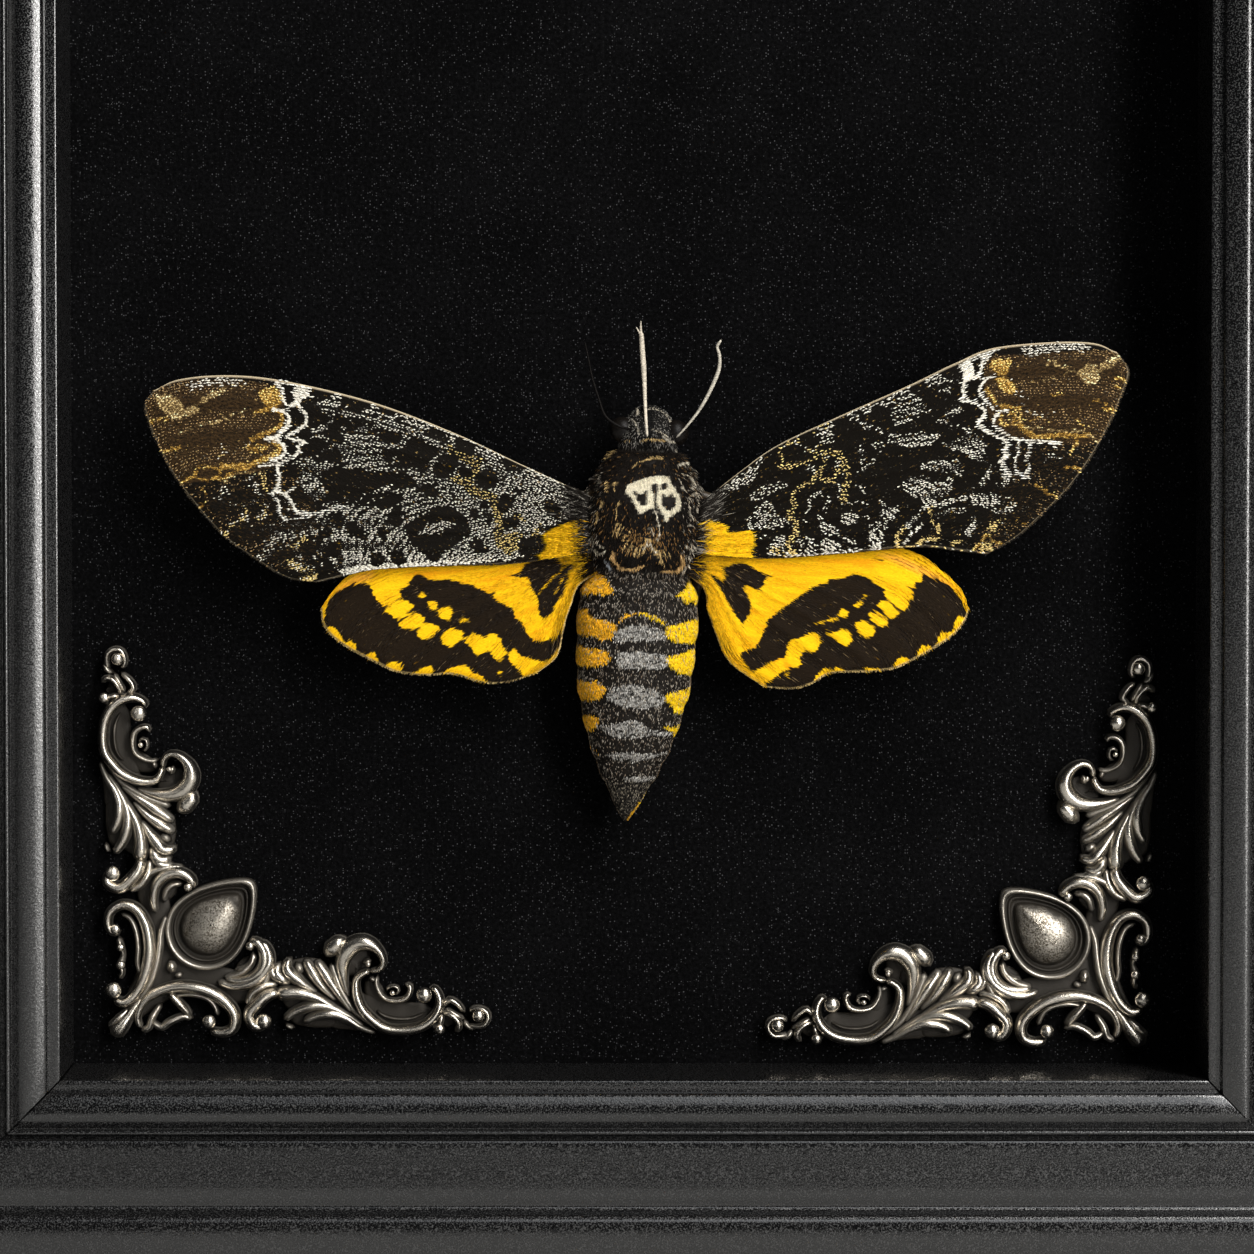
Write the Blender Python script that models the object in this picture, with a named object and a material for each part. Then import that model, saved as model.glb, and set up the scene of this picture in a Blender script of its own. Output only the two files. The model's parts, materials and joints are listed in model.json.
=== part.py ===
"""A spread death's head hawkmoth of the greater kind, mounted in a black shadow box.

The box stands upright on its bottom rail and faces -Y. It holds a velvet pad, the moth and
two silver corner ornaments. Every size below is in metres, given as millimetres times MM.
"""

import math

import bmesh
import bpy
from mathutils import Vector

MM = 0.001
GAP = 0.3 * MM

# The shadow box: its sight opening, its moulding and the boards behind.
OPENING_WIDTH = 127 * MM
OPENING_HEIGHT = 178 * MM
RAIL_WIDTH = 22 * MM
BOX_DEPTH = 30 * MM
VELVET_DEPTH = 21 * MM
REBATE = 6 * MM
PAD_THICKNESS = 3 * MM
BACKING_THICKNESS = 2.4 * MM
FRONT_Y = -BOX_DEPTH / 2
VELVET_Y = FRONT_Y + VELVET_DEPTH

# The moulding's face from the sight edge outwards: (outward, behind the front), in mm.
MOULDING_FACE = (
    (0.0, 4.6), (0.4, 4.1), (1.2, 3.9), (1.5, 3.1), (2.3, 2.5), (3.4, 2.2), (4.5, 2.4),
    (5.1, 2.9), (5.5, 2.7), (5.9, 3.1), (6.4, 3.3), (6.7, 2.4), (8.4, 1.8), (10.6, 1.6),
    (12.8, 1.9), (13.3, 2.4), (14.2, 1.9), (14.8, 0.6), (15.8, 0.1), (18.2, 0.0),
    (20.4, 0.4), (21.6, 1.4), (22.0, 2.9),
)

# The moth. Its middle is the thorax's, and its body leans a little off the upright.
THORAX_X = 1.1 * MM
THORAX_Z = RAIL_WIDTH + 62.5 * MM
BODY_LEAN = math.radians(3.4)

# Body sections along the axis: (along, half width, rise above and drop below the middle,
# height of the middle over the velvet), in mm, with the head at the positive end.
THORAX_SECTIONS = (
    (6.7, 3.4, 3.2, 2.9, 6.6), (6.2, 4.6, 4.3, 3.7, 6.5), (4.4, 5.9, 5.3, 4.7, 6.4),
    (2.2, 6.6, 6.0, 5.6, 6.4), (-1.0, 6.9, 6.3, 6.4, 6.4), (-3.9, 6.4, 6.0, 5.7, 6.4),
    (-5.6, 5.5, 5.3, 5.0, 6.3), (-6.6, 4.4, 4.3, 4.2, 6.2),
)
HEAD_SECTIONS = (
    (7.0, 2.9, 2.6, 2.4, 6.7), (7.6, 3.5, 3.1, 2.8, 6.7), (8.6, 3.7, 3.3, 3.0, 6.7),
    (9.8, 3.3, 3.0, 2.9, 6.6), (10.8, 2.6, 2.5, 2.6, 6.4), (11.6, 1.8, 1.7, 1.9, 6.2),
    (12.1, 0.9, 0.8, 0.9, 6.0),
)
# The abdomen's half width at places along the axis, in mm, and where its rings end.
ABDOMEN_WIDTHS = (
    (-6.9, 5.4), (-8.8, 6.7), (-11.8, 6.95), (-16.8, 6.75), (-19.9, 6.4), (-22.9, 5.7),
    (-25.9, 4.8), (-28.9, 3.5), (-31.9, 1.9), (-33.6, 0.9), (-34.8, 0.3),
)
ABDOMEN_RINGS = (-6.9, -9.8, -14.0, -17.7, -21.3, -24.9, -27.8, -30.3, -34.8)
ABDOMEN_DEPTH = 0.86
ABDOMEN_HEIGHT = 6.2
RING_GROOVE = 0.22
BODY_SIDES = 18

EYE_RADIUS = 1.55 * MM
EYE_PLACE = (3.0, 9.2, 7.1)

# Wing outlines in mm from the thorax's middle, on the right side of the photograph's view
# for the right wing and with x reversed for the left one.
FOREWING_ROOT = (1.9, -3.9)
HINDWING_ROOT = (-4.4, -6.3)
LEFT_FOREWING = {
    "leading": ((13.9, 5.6), (20.9, 8.9), (29.5, 12.2), (38.0, 14.4), (44.9, 15.4),
                (51.8, 15.1), (54.9, 13.9)),
    "outer": ((55.9, 12.3), (55.3, 9.9), (54.0, 6.9), (51.8, 3.1), (47.3, -2.3),
              (43.1, -5.4), (40.1, -7.2)),
    "trailing": ((11.4, -5.0), (17.5, -5.7), (27.8, -6.3), (31.2, -6.6), (36.7, -7.8)),
}
RIGHT_FOREWING = {
    "leading": ((11.1, 5.0), (15.0, 7.7), (21.6, 10.8), (29.7, 14.4), (34.7, 16.8),
                (39.6, 18.6), (49.4, 19.2), (52.9, 18.2)),
    "outer": ((54.2, 16.2), (53.7, 14.0), (52.3, 10.6), (50.4, 7.0), (47.7, 3.1),
              (44.5, -0.2), (41.6, -2.8)),
    "trailing": ((11.7, -4.8), (21.6, -4.6), (30.7, -3.9), (34.7, -4.2), (38.4, -4.6)),
}
LEFT_HINDWING = {
    "leading": ((12.7, -3.9), (20.0, -4.3), (27.3, -4.8), (31.4, -6.0), (34.5, -8.2),
                (36.4, -10.5)),
    "outer": ((36.0, -12.6), (34.0, -14.6), (30.2, -16.7), (27.8, -17.8), (24.4, -18.2),
              (21.6, -18.1), (18.2, -19.1), (15.4, -19.1)),
    "trailing": ((7.6, -8.1), (8.3, -10.6), (8.9, -13.2), (9.7, -16.2), (11.9, -18.1)),
}
RIGHT_HINDWING = {
    "leading": ((11.7, -3.4), (19.9, -3.2), (26.5, -3.3), (30.7, -4.6), (33.0, -6.2),
                (35.7, -8.6), (36.6, -10.6)),
    "outer": ((36.1, -12.0), (34.3, -14.0), (29.4, -16.9), (26.5, -17.7), (21.2, -18.0),
              (18.9, -19.2), (16.7, -19.8)),
    "trailing": ((6.9, -8.4), (7.3, -11.0), (8.0, -13.8), (9.6, -16.9), (13.3, -19.6)),
}
MEMBRANE = 0.52 * MM
VEIN_RISE = 0.26 * MM
VEIN_HALF = 0.35
FOREWING_VEINS = (0.0, 0.1, 0.22, 0.34, 0.46, 0.58, 0.7, 0.83, 1.0)
HINDWING_VEINS = (0.0, 0.16, 0.34, 0.52, 0.68, 0.84, 1.0)
FOREWING_HEIGHT = 8.5
HINDWING_HEIGHT = 7.3

# Feelers, tongue and legs: routes as (across, along the photograph's upright, height), mm.
ANTENNA_ROUTES = {
    "right": ((2.6, 10.0, 9.5), (4.0, 9.6, 9.8), (5.9, 10.8, 9.6), (7.3, 13.4, 9.4),
              (8.2, 15.6, 9.4), (8.4, 17.4, 9.4), (8.2, 18.7, 9.5), (8.7, 19.5, 9.6)),
    "left": ((-1.4, 10.0, 9.5), (-2.8, 9.8, 9.7), (-4.3, 10.9, 9.5), (-5.1, 13.0, 9.2),
             (-5.8, 15.3, 9.0), (-6.2, 17.3, 8.9), (-6.6, 19.3, 8.9)),
}
PROBOSCIS_ROUTE = ((0.5, 12.9, 6.3), (0.2, 14.6, 6.9), (-0.1, 17.3, 7.1), (-0.3, 21.1, 7.0))
# Each leg: its root's place along the thorax, then its route beyond the root.
LEG_ROUTES = {
    "fore": (2.6, ((7.8, 1.5, 2.9), (11.4, -0.8, 2.0), (12.6, -4.8, 0.9), (12.4, -8.0, 0.7))),
    "mid": (0.0, ((7.9, -1.6, 3.2), (9.9, -4.8, 1.8), (10.3, -9.0, 0.9), (10.0, -12.6, 0.7))),
    "hind": (-2.9, ((7.1, -4.8, 2.0), (5.9, -8.8, 0.9), (5.3, -13.6, 0.5), (4.9, -18.2, 0.5))),
}
LEG_ROOT_HEIGHT = 2.0
LEG_RADIUS = (0.62, 0.3)

# The corner ornaments. Strokes are (points, widths, heights), in mm from the opening's
# corner: inwards along the bottom rail and upwards, for the arm that stands upright.
ORNAMENT_SHIFT = {"left": (0.0, 0.0), "right": (1.4, -1.2)}
# The lying arm is the upright one turned over the diagonal, then moved by this.
TURN_SHIFT = (-0.9, 1.2)
ARM_STROKES = (
    # C scroll with its eye, and the finial above it
    (((8.0, 40.0), (8.7, 41.4), (7.2, 42.6), (4.8, 41.6), (3.5, 38.6), (3.8, 35.6),
      (5.6, 33.6), (8.2, 32.9), (9.9, 33.9)), (1.1, 1.5, 1.5, 1.0), (2.4, 3.0, 3.0, 2.0)),
    (((7.4, 40.4), (7.0, 40.9)), (1.9, 1.9), (3.4, 3.0)),
    (((5.4, 46.9), (5.5, 46.1)), (1.7, 1.7), (3.4, 3.0)),
    (((4.7, 46.8), (4.7, 45.4), (6.0, 44.0), (6.7, 42.7)), (0.9, 1.5, 1.7), (2.2, 2.6, 2.6)),
    (((4.0, 41.9), (3.6, 43.0), (4.4, 43.8), (5.4, 43.0)), (1.3, 0.9, 0.9), (2.6, 2.2, 2.0)),
    # The inner S with its bead
    (((8.9, 38.9), (7.2, 38.3), (6.8, 37.0), (7.6, 35.9), (9.4, 35.2), (10.2, 34.3)),
     (1.0, 0.9, 0.9), (2.4, 2.2, 2.0)),
    # Shell
    (((10.9, 34.5), (11.9, 35.4), (13.0, 34.0), (12.6, 31.6), (10.0, 31.6), (6.2, 32.6)),
     (1.8, 1.9, 1.6, 0.8), (3.4, 3.4, 2.8, 1.6)),
    (((13.1, 31.6), (11.9, 30.0), (9.0, 30.5), (5.6, 32.2)), (1.2, 1.9, 0.9), (2.8, 2.6, 1.6)),
    # Fronds that fan out of the stem
    (((11.2, 28.3), (8.8, 29.4), (5.0, 32.4)), (1.2, 1.1, 0.8), (2.8, 2.6, 1.6)),
    (((11.4, 26.6), (8.8, 27.9), (5.4, 31.4)), (1.2, 1.2, 0.8), (2.8, 2.6, 1.6)),
    (((11.2, 24.6), (9.2, 25.8), (6.2, 30.2)), (1.5, 1.3, 0.8), (3.0, 2.6, 1.6)),
    (((3.9, 26.3), (5.0, 29.6), (3.8, 33.4), (2.9, 36.2)), (1.1, 1.1, 0.7), (2.4, 2.4, 1.6)),
    (((4.5, 24.5), (5.9, 27.2), (5.1, 31.0), (3.6, 34.4)), (1.1, 1.1, 0.7), (2.4, 2.6, 1.6)),
    (((4.4, 22.8), (4.3, 21.3), (6.1, 21.0), (7.5, 23.1), (7.6, 26.2), (6.2, 30.0),
      (4.2, 34.0)), (1.9, 1.3, 1.5, 0.7), (3.4, 2.8, 3.0, 1.6)),
    (((8.2, 22.4), (9.6, 24.6)), (1.1, 1.7), (2.2, 2.0)),
    # Lobe between the arm and the jewel
    (((10.0, 19.0), (8.9, 21.0), (10.8, 22.4), (13.2, 21.8), (13.6, 20.8)),
     (1.2, 1.5, 1.1), (2.4, 2.8, 2.0)),
    # Webs that lie low between the strokes
    (((5.0, 22.6), (6.4, 27.0), (7.0, 31.6), (5.4, 36.8), (6.6, 41.0), (5.6, 44.6)),
     (3.6, 5.6, 4.2, 2.0), (1.4, 1.4, 1.4, 1.4)),
    (((9.4, 25.0), (9.2, 29.4), (10.6, 32.6)), (3.4, 4.4, 3.6), (1.4, 1.4, 1.4)),
)
CORNER_STROKES = (
    # Side scrolls in the corner, with the beads between them
    (((5.2, 16.0), (4.0, 17.2), (5.2, 18.9), (7.4, 17.6), (8.4, 14.2), (7.8, 10.8),
      (6.2, 8.3), (4.4, 8.6)), (1.5, 1.3, 1.3, 1.2), (2.8, 2.4, 2.6, 2.2)),
    (((4.7, 9.7), (5.1, 9.3)), (1.7, 1.7), (3.0, 2.6)),
    (((16.0, 5.2), (17.2, 4.6), (17.6, 6.6), (15.6, 8.7), (12.6, 9.3), (9.4, 8.4),
      (7.3, 6.2), (7.2, 4.8)), (1.5, 1.3, 1.3, 1.2), (2.8, 2.4, 2.6, 2.2)),
    (((10.6, 8.2), (12.9, 6.9), (12.9, 5.4), (11.2, 5.4)), (1.4, 1.3, 1.0), (2.6, 2.4, 2.2)),
    (((5.0, 5.2), (6.0, 6.8), (8.6, 10.2), (11.0, 12.4)), (1.4, 2.6, 3.6), (1.8, 2.0, 2.0)),
    (((5.2, 14.9), (5.5, 13.7), (5.6, 11.2)), (0.9, 1.3, 0.9), (1.6, 2.2, 1.6)),
    # Lobe beside the jewel
    (((20.8, 14.2), (22.2, 13.4), (21.6, 11.0), (19.4, 9.4), (16.4, 9.8)),
     (1.2, 1.5, 1.4), (2.6, 2.8, 2.2)),
    # Webs round the jewel and out to both arms
    (((6.4, 7.2), (11.0, 11.6), (15.6, 15.6)), (4.0, 7.0, 8.0), (1.4, 1.4, 1.4)),
    (((8.0, 13.0), (8.0, 18.6), (6.6, 23.2)), (3.4, 4.0, 3.6), (1.4, 1.4, 1.4)),
    (((13.0, 8.0), (18.6, 8.0), (23.2, 6.6)), (3.4, 4.0, 3.6), (1.4, 1.4, 1.4)),
)
# The jewel: a domed drop in a ring, round at the lower end and pointed at the upper.
JEWEL_CENTRE = (14.5, 15.6)
JEWEL_POINT = (19.9, 21.1)
JEWEL_RADIUS = 4.2
JEWEL_RISE = 2.7
STROKE_SIDES = 4
STROKE_STEP = 1.5
ORNAMENT_BASE = 0.4
STROKE_STAGGER = 0.023
ORNAMENT_SHARE = 0.42


def clear_scene():
    """Remove every object of the scene."""
    for obj in list(bpy.data.objects):
        bpy.data.objects.remove(obj, do_unlink=True)


def make_material(name, colour, roughness, metallic=0.0):
    """A Principled material of one colour."""
    material = bpy.data.materials.new(name)
    material.use_nodes = True
    shader = material.node_tree.nodes["Principled BSDF"]
    shader.inputs["Base Color"].default_value = (*colour, 1.0)
    shader.inputs["Roughness"].default_value = roughness
    shader.inputs["Metallic"].default_value = metallic
    return material


def mesh_object(name, bm, material, collection):
    """Turn a bmesh into a smooth-shaded object with its faces pointing out."""
    bmesh.ops.recalc_face_normals(bm, faces=bm.faces)
    mesh = bpy.data.meshes.new(name)
    bm.to_mesh(mesh)
    bm.free()
    mesh.materials.append(material)
    mesh.shade_smooth()
    mesh.set_sharp_from_angle(angle=math.radians(40))
    obj = bpy.data.objects.new(name, mesh)
    collection.objects.link(obj)
    return obj


def curve_through(points, steps):
    """Points on a smooth Catmull-Rom curve, with this many steps between given points."""
    given = [Vector(point) for point in points]
    padded = [given[0] * 2 - given[1], *given, given[-1] * 2 - given[-2]]
    found = []
    for i in range(1, len(padded) - 2):
        a, b, c, d = padded[i - 1 : i + 3]
        for step in range(steps):
            t = step / steps
            found.append(
                0.5 * ((2 * b) + (c - a) * t + (2 * a - 5 * b + 4 * c - d) * t**2
                       + (3 * b - a - 3 * c + d) * t**3)
            )
    return [*found, given[-1]]


def resample(path, count):
    """A path's points, evenly spaced along its length."""
    lengths = [0.0]
    for a, b in zip(path, path[1:]):
        lengths.append(lengths[-1] + (b - a).length)
    found = []
    at = 0
    for i in range(count):
        want = lengths[-1] * i / (count - 1)
        while at < len(path) - 2 and lengths[at + 1] < want:
            at += 1
        span = max(lengths[at + 1] - lengths[at], 1e-12)
        found.append(path[at].lerp(path[at + 1], min(max((want - lengths[at]) / span, 0), 1)))
    return found


def between(values, t):
    """The value at t in 0 to 1 along an evenly spaced list, blended smoothly."""
    place = t * (len(values) - 1)
    low = min(int(place), len(values) - 2)
    part = place - low
    return values[low] + (values[low + 1] - values[low]) * part


def loft(rings):
    """A closed bmesh through rings of equally many points, with fans at both ends."""
    bm = bmesh.new()
    made = [[bm.verts.new(point) for point in ring] for ring in rings]
    sides = len(made[0])
    for ring, after in zip(made, made[1:]):
        for i in range(sides):
            j = (i + 1) % sides
            bm.faces.new((ring[i], ring[j], after[j], after[i]))
    for ring in (made[0], made[-1]):
        middle = bm.verts.new(sum((vert.co for vert in ring), Vector()) / sides)
        for i in range(sides):
            bm.faces.new((ring[i], ring[(i + 1) % sides], middle))
    return bm


def largest_body(bm):
    """Delete every loose piece but the one with the most volume."""
    left = set(bm.verts)
    bodies = []
    while left:
        body = {left.pop()}
        edge = list(body)
        while edge:
            vert = edge.pop()
            for link in vert.link_edges:
                other = link.other_vert(vert)
                if other in left:
                    left.discard(other)
                    body.add(other)
                    edge.append(other)
        bodies.append(body)

    def volume(body):
        faces = {face for vert in body for face in vert.link_faces}
        total = 0.0
        for face in faces:
            first = face.verts[0].co
            for one, two in zip(face.verts[1:], face.verts[2:]):
                total += first.dot(one.co.cross(two.co))
        return abs(total)

    keep = max(bodies, key=volume)
    bmesh.ops.delete(bm, geom=[v for v in bm.verts if v not in keep], context="VERTS")


def combine(name, first, others, material, collection, operation="UNION", solver="EXACT"):
    """Join or cut a mesh object by others with one Boolean, and remove the others."""
    helpers = bpy.data.collections.new(name + " pieces")
    bpy.context.scene.collection.children.link(helpers)
    for obj in others:
        for user in list(obj.users_collection):
            user.objects.unlink(obj)
        helpers.objects.link(obj)
    cut = first.modifiers.new("Combine", "BOOLEAN")
    cut.operation = operation
    cut.operand_type = "COLLECTION"
    cut.collection = helpers
    cut.solver = solver
    bpy.context.view_layer.update()
    graph = bpy.context.evaluated_depsgraph_get()
    bm = bmesh.new()
    bm.from_object(first, graph)
    bm.transform(first.matrix_world)
    for obj in (*others, first):
        bpy.data.objects.remove(obj, do_unlink=True)
    bpy.data.collections.remove(helpers)
    largest_body(bm)
    bmesh.ops.triangulate(bm, faces=bm.faces)
    return mesh_object(name, bm, material, collection)


def thin_out(obj, share):
    """Merge the short edges that a union leaves, keeping this share of the triangles."""
    fewer = obj.modifiers.new("Fewer", "DECIMATE")
    fewer.ratio = share
    bpy.context.view_layer.update()
    bm = bmesh.new()
    bm.from_object(obj, bpy.context.evaluated_depsgraph_get())
    obj.modifiers.remove(fewer)
    bmesh.ops.triangulate(bm, faces=bm.faces)
    bm.to_mesh(obj.data)
    bm.free()


def build_rail(name, inner_length, material, collection):
    """One mitred length of moulding along X, with its sight edge at Z = 0 and its face to -Y."""
    face = [(u * MM, FRONT_Y + d * MM) for u, d in MOULDING_FACE]
    back = [
        (RAIL_WIDTH, FRONT_Y + BOX_DEPTH),
        (REBATE, FRONT_Y + BOX_DEPTH),
        (REBATE, VELVET_Y),
        (0.0, VELVET_Y),
    ]
    section = [*face, *back]
    bm = bmesh.new()
    ends = []
    for side in (-1, 1):
        reach = inner_length / 2 - GAP / 2
        ends.append([bm.verts.new((side * (reach + u), y, -u)) for u, y in section])
    count = len(section)
    for i in range(count):
        j = (i + 1) % count
        bm.faces.new((ends[0][i], ends[0][j], ends[1][j], ends[1][i]))
    bm.faces.new(ends[0])
    bm.faces.new(ends[1])
    return mesh_object(name, bm, material, collection)


def build_board(name, front_y, thickness, margin, material, collection):
    """A flat board behind the opening, reaching past its edges by the margin."""
    size = (OPENING_WIDTH + 2 * margin, thickness, OPENING_HEIGHT + 2 * margin)
    bm = bmesh.new()
    bmesh.ops.create_cube(bm, size=1.0)
    bmesh.ops.scale(bm, vec=size, verts=bm.verts)
    obj = mesh_object(name, bm, material, collection)
    obj.location = (0, front_y + thickness / 2, RAIL_WIDTH + OPENING_HEIGHT / 2)
    return obj


def build_box(materials, collection):
    """The four rails, the velvet pad and the backing board."""
    middle_z = RAIL_WIDTH + OPENING_HEIGHT / 2
    rails = (
        ("frame_bottom", OPENING_WIDTH, (0, 0, RAIL_WIDTH), 0),
        ("frame_left", OPENING_HEIGHT, (-OPENING_WIDTH / 2, 0, middle_z), 90),
        ("frame_top", OPENING_WIDTH, (0, 0, RAIL_WIDTH + OPENING_HEIGHT), 180),
        ("frame_right", OPENING_HEIGHT, (OPENING_WIDTH / 2, 0, middle_z), 270),
    )
    for name, length, place, turn in rails:
        rail = build_rail(name, length, materials["frame"], collection)
        rail.location = place
        rail.rotation_euler = (0, math.radians(turn), 0)
    inside = REBATE - GAP
    pad_front = VELVET_Y + GAP
    build_board("velvet_pad", pad_front, PAD_THICKNESS, inside, materials["velvet"], collection)
    board_front = pad_front + PAD_THICKNESS + GAP
    build_board("backing_board", board_front, BACKING_THICKNESS, inside,
                materials["backing"], collection)


def section_ring(along, half_width, above, below, height):
    """One ring of the body at a place on its axis, in mm: flatter below than above."""
    ring = []
    for i in range(BODY_SIDES):
        angle = 2 * math.pi * i / BODY_SIDES
        reach = above if math.sin(angle) > 0 else below
        across = half_width * math.cos(angle)
        ring.append(Vector((across, -height - reach * math.sin(angle), along)) * MM)
    return ring


def sections_object(name, sections, material, collection):
    """A body part lofted through its sections."""
    return mesh_object(name, loft([section_ring(*part) for part in sections]), material,
                       collection)


def blend_table(table, place):
    """The second column of a table at a place in its falling first column."""
    for (high, a), (low, b) in zip(table, table[1:]):
        if place >= low:
            part = min(max((high - place) / (high - low), 0.0), 1.0)
            return a + (b - a) * part
    return table[-1][1]


def abdomen_sections():
    """Sections of the ringed abdomen: each ring swells and ends over the next one."""
    sections = []
    for start, end in zip(ABDOMEN_RINGS, ABDOMEN_RINGS[1:]):
        last = end == ABDOMEN_RINGS[-1]
        steps = (0.02, 0.35, 0.62, 0.86, 1.0) if last else (0.02, 0.45, 0.96)
        for part in steps:
            place = start + (end - start) * part
            width = blend_table(ABDOMEN_WIDTHS, place)
            if part == steps[0] and start != ABDOMEN_RINGS[0]:
                width -= RING_GROOVE
            height = ABDOMEN_HEIGHT - 0.9 * (place / ABDOMEN_RINGS[-1]) ** 3
            depth = width * ABDOMEN_DEPTH
            sections.append((place, width, depth, min(depth, height - 0.45), height))
    return sections


def body_reach(sections, along, height):
    """How far the body's side stands out at a place on the axis and a height, in mm."""
    columns = [[(part[0], part[k]) for part in sections] for k in range(1, 5)]
    half, above, below, middle = (blend_table(column, along) for column in columns)
    part = (height - middle) / (above if height > middle else below)
    return half * math.sqrt(max(1 - part * part, 0.0))


def beside_thorax(side, along, height, clear):
    """A point clear of the thorax's side by this much: (distance outwards, up), in mm."""
    reach = body_reach(THORAX_SECTIONS, along, height) + clear
    return Vector((
        reach * math.cos(BODY_LEAN) + side * along * math.sin(BODY_LEAN),
        along * math.cos(BODY_LEAN) - side * reach * math.sin(BODY_LEAN),
    ))


def outline_edges(outline, root, height):
    """A wing's four edges as smooth curves, in mm: root, leading, outer and trailing."""
    side = 1 if outline["side"] == "right" else -1

    def root_point(along):
        return beside_thorax(side, along, height, GAP / MM)

    top, foot = root_point(root[0]), root_point(root[1])
    apex, corner = outline["leading"][-1], outline["trailing"][-1]
    rows = 6
    roots = [root_point(root[0] + (root[1] - root[0]) * i / rows) for i in range(rows + 1)]
    return {
        "root": roots,
        "leading": curve_through([top, *outline["leading"]], 6),
        "outer": curve_through([apex, *outline["outer"], corner], 6),
        "trailing": curve_through([foot, *outline["trailing"]], 6),
    }


def vein_rows(veins):
    """Rows across the wing: each vein's crest with its two feet, as (place, crest)."""
    rows = []
    for i, place in enumerate(veins):
        before = place - veins[i - 1] if i else 0
        after = veins[i + 1] - place if i + 1 < len(veins) else 0
        if before:
            rows.append((place - before * VEIN_HALF, 0.0))
        rows.append((place, 1.0))
        if after:
            rows.append((place + after * VEIN_HALF, 0.0))
    return rows


def build_wing(name, outline, root, veins, columns, lift, material, collection):
    """One wing: a thin sheet inside its four edges, with the veins raised in its surface."""
    side = 1 if outline["side"] == "right" else -1
    edges = outline_edges(outline, root, lift[0])
    rows = vein_rows(veins)
    leading = resample(edges["leading"], columns)
    trailing = resample(edges["trailing"], columns)
    roots = resample(edges["root"], 101)
    outer = resample(edges["outer"], 101)
    grid = []
    for v, crest in rows:
        start, end = roots[round(v * 100)], outer[round(v * 100)]
        line = []
        for j in range(columns):
            u = j / (columns - 1)
            flat = leading[j] * (1 - v) + trailing[j] * v + start * (1 - u) + end * u
            flat -= (
                (leading[0] * (1 - v) + trailing[0] * v) * (1 - u)
                + (leading[-1] * (1 - v) + trailing[-1] * v) * u
            )
            height = lift[0] + lift[1] * u + lift[2] * math.sin(math.pi * v) * u * (1.6 - u)
            ridge = crest * VEIN_RISE * (1 - 0.55 * u)
            line.append((Vector((side * flat.x, -height, flat.y)) * MM, ridge))
        grid.append(line)
    bm = bmesh.new()
    thin = [1 - 0.35 * (j / (columns - 1)) ** 3 for j in range(columns)]
    upper = [
        [bm.verts.new(p - Vector((0, MEMBRANE / 2 * thin[j] + ridge, 0)))
         for j, (p, ridge) in enumerate(line)]
        for line in grid
    ]
    lower = [
        [bm.verts.new(p + Vector((0, MEMBRANE / 2 * thin[j], 0)))
         for j, (p, ridge) in enumerate(line)]
        for line in grid
    ]
    for sheet in (upper, lower):
        for a, b in zip(sheet, sheet[1:]):
            for j in range(columns - 1):
                bm.faces.new((a[j], a[j + 1], b[j + 1]))
                bm.faces.new((a[j], b[j + 1], b[j]))
    rims = (
        [line[0] for line in upper], [line[0] for line in lower],
        [line[-1] for line in upper], [line[-1] for line in lower],
        upper[0], lower[0], upper[-1], lower[-1],
    )
    for top, under in zip(rims[::2], rims[1::2]):
        for i in range(len(top) - 1):
            bm.faces.new((top[i], top[i + 1], under[i + 1]))
            bm.faces.new((top[i], under[i + 1], under[i]))
    return mesh_object(name, bm, material, collection)


def tube_object(name, route, radii, material, collection, sides_level=2):
    """A tapering tube on a POLY curve through a route, made a closed mesh."""
    curve = bpy.data.curves.new(name, "CURVE")
    curve.dimensions = "3D"
    curve.bevel_depth = 1.0
    curve.bevel_resolution = sides_level
    curve.use_fill_caps = True
    spline = curve.splines.new("POLY")
    spline.points.add(len(route) - 1)
    for i, point in enumerate(route):
        spline.points[i].co = (*point, 1.0)
        spline.points[i].radius = between(radii, i / (len(route) - 1))
    holder = bpy.data.objects.new(name + " curve", curve)
    collection.objects.link(holder)
    bpy.context.view_layer.update()
    graph = bpy.context.evaluated_depsgraph_get()
    mesh = bpy.data.meshes.new_from_object(holder.evaluated_get(graph))
    bm = bmesh.new()
    bm.from_mesh(mesh)
    bpy.data.meshes.remove(mesh)
    bpy.data.objects.remove(holder, do_unlink=True)
    bmesh.ops.remove_doubles(bm, verts=bm.verts, dist=1e-6)
    return mesh_object(name, bm, material, collection)


def route_in_metres(route, count, side=1):
    """A smooth route from (across, along, height) in mm, as evenly spaced points."""
    points = [Vector((side * x, -h, z)) * MM for x, z, h in route]
    return resample(curve_through(points, 8), count)


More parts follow.
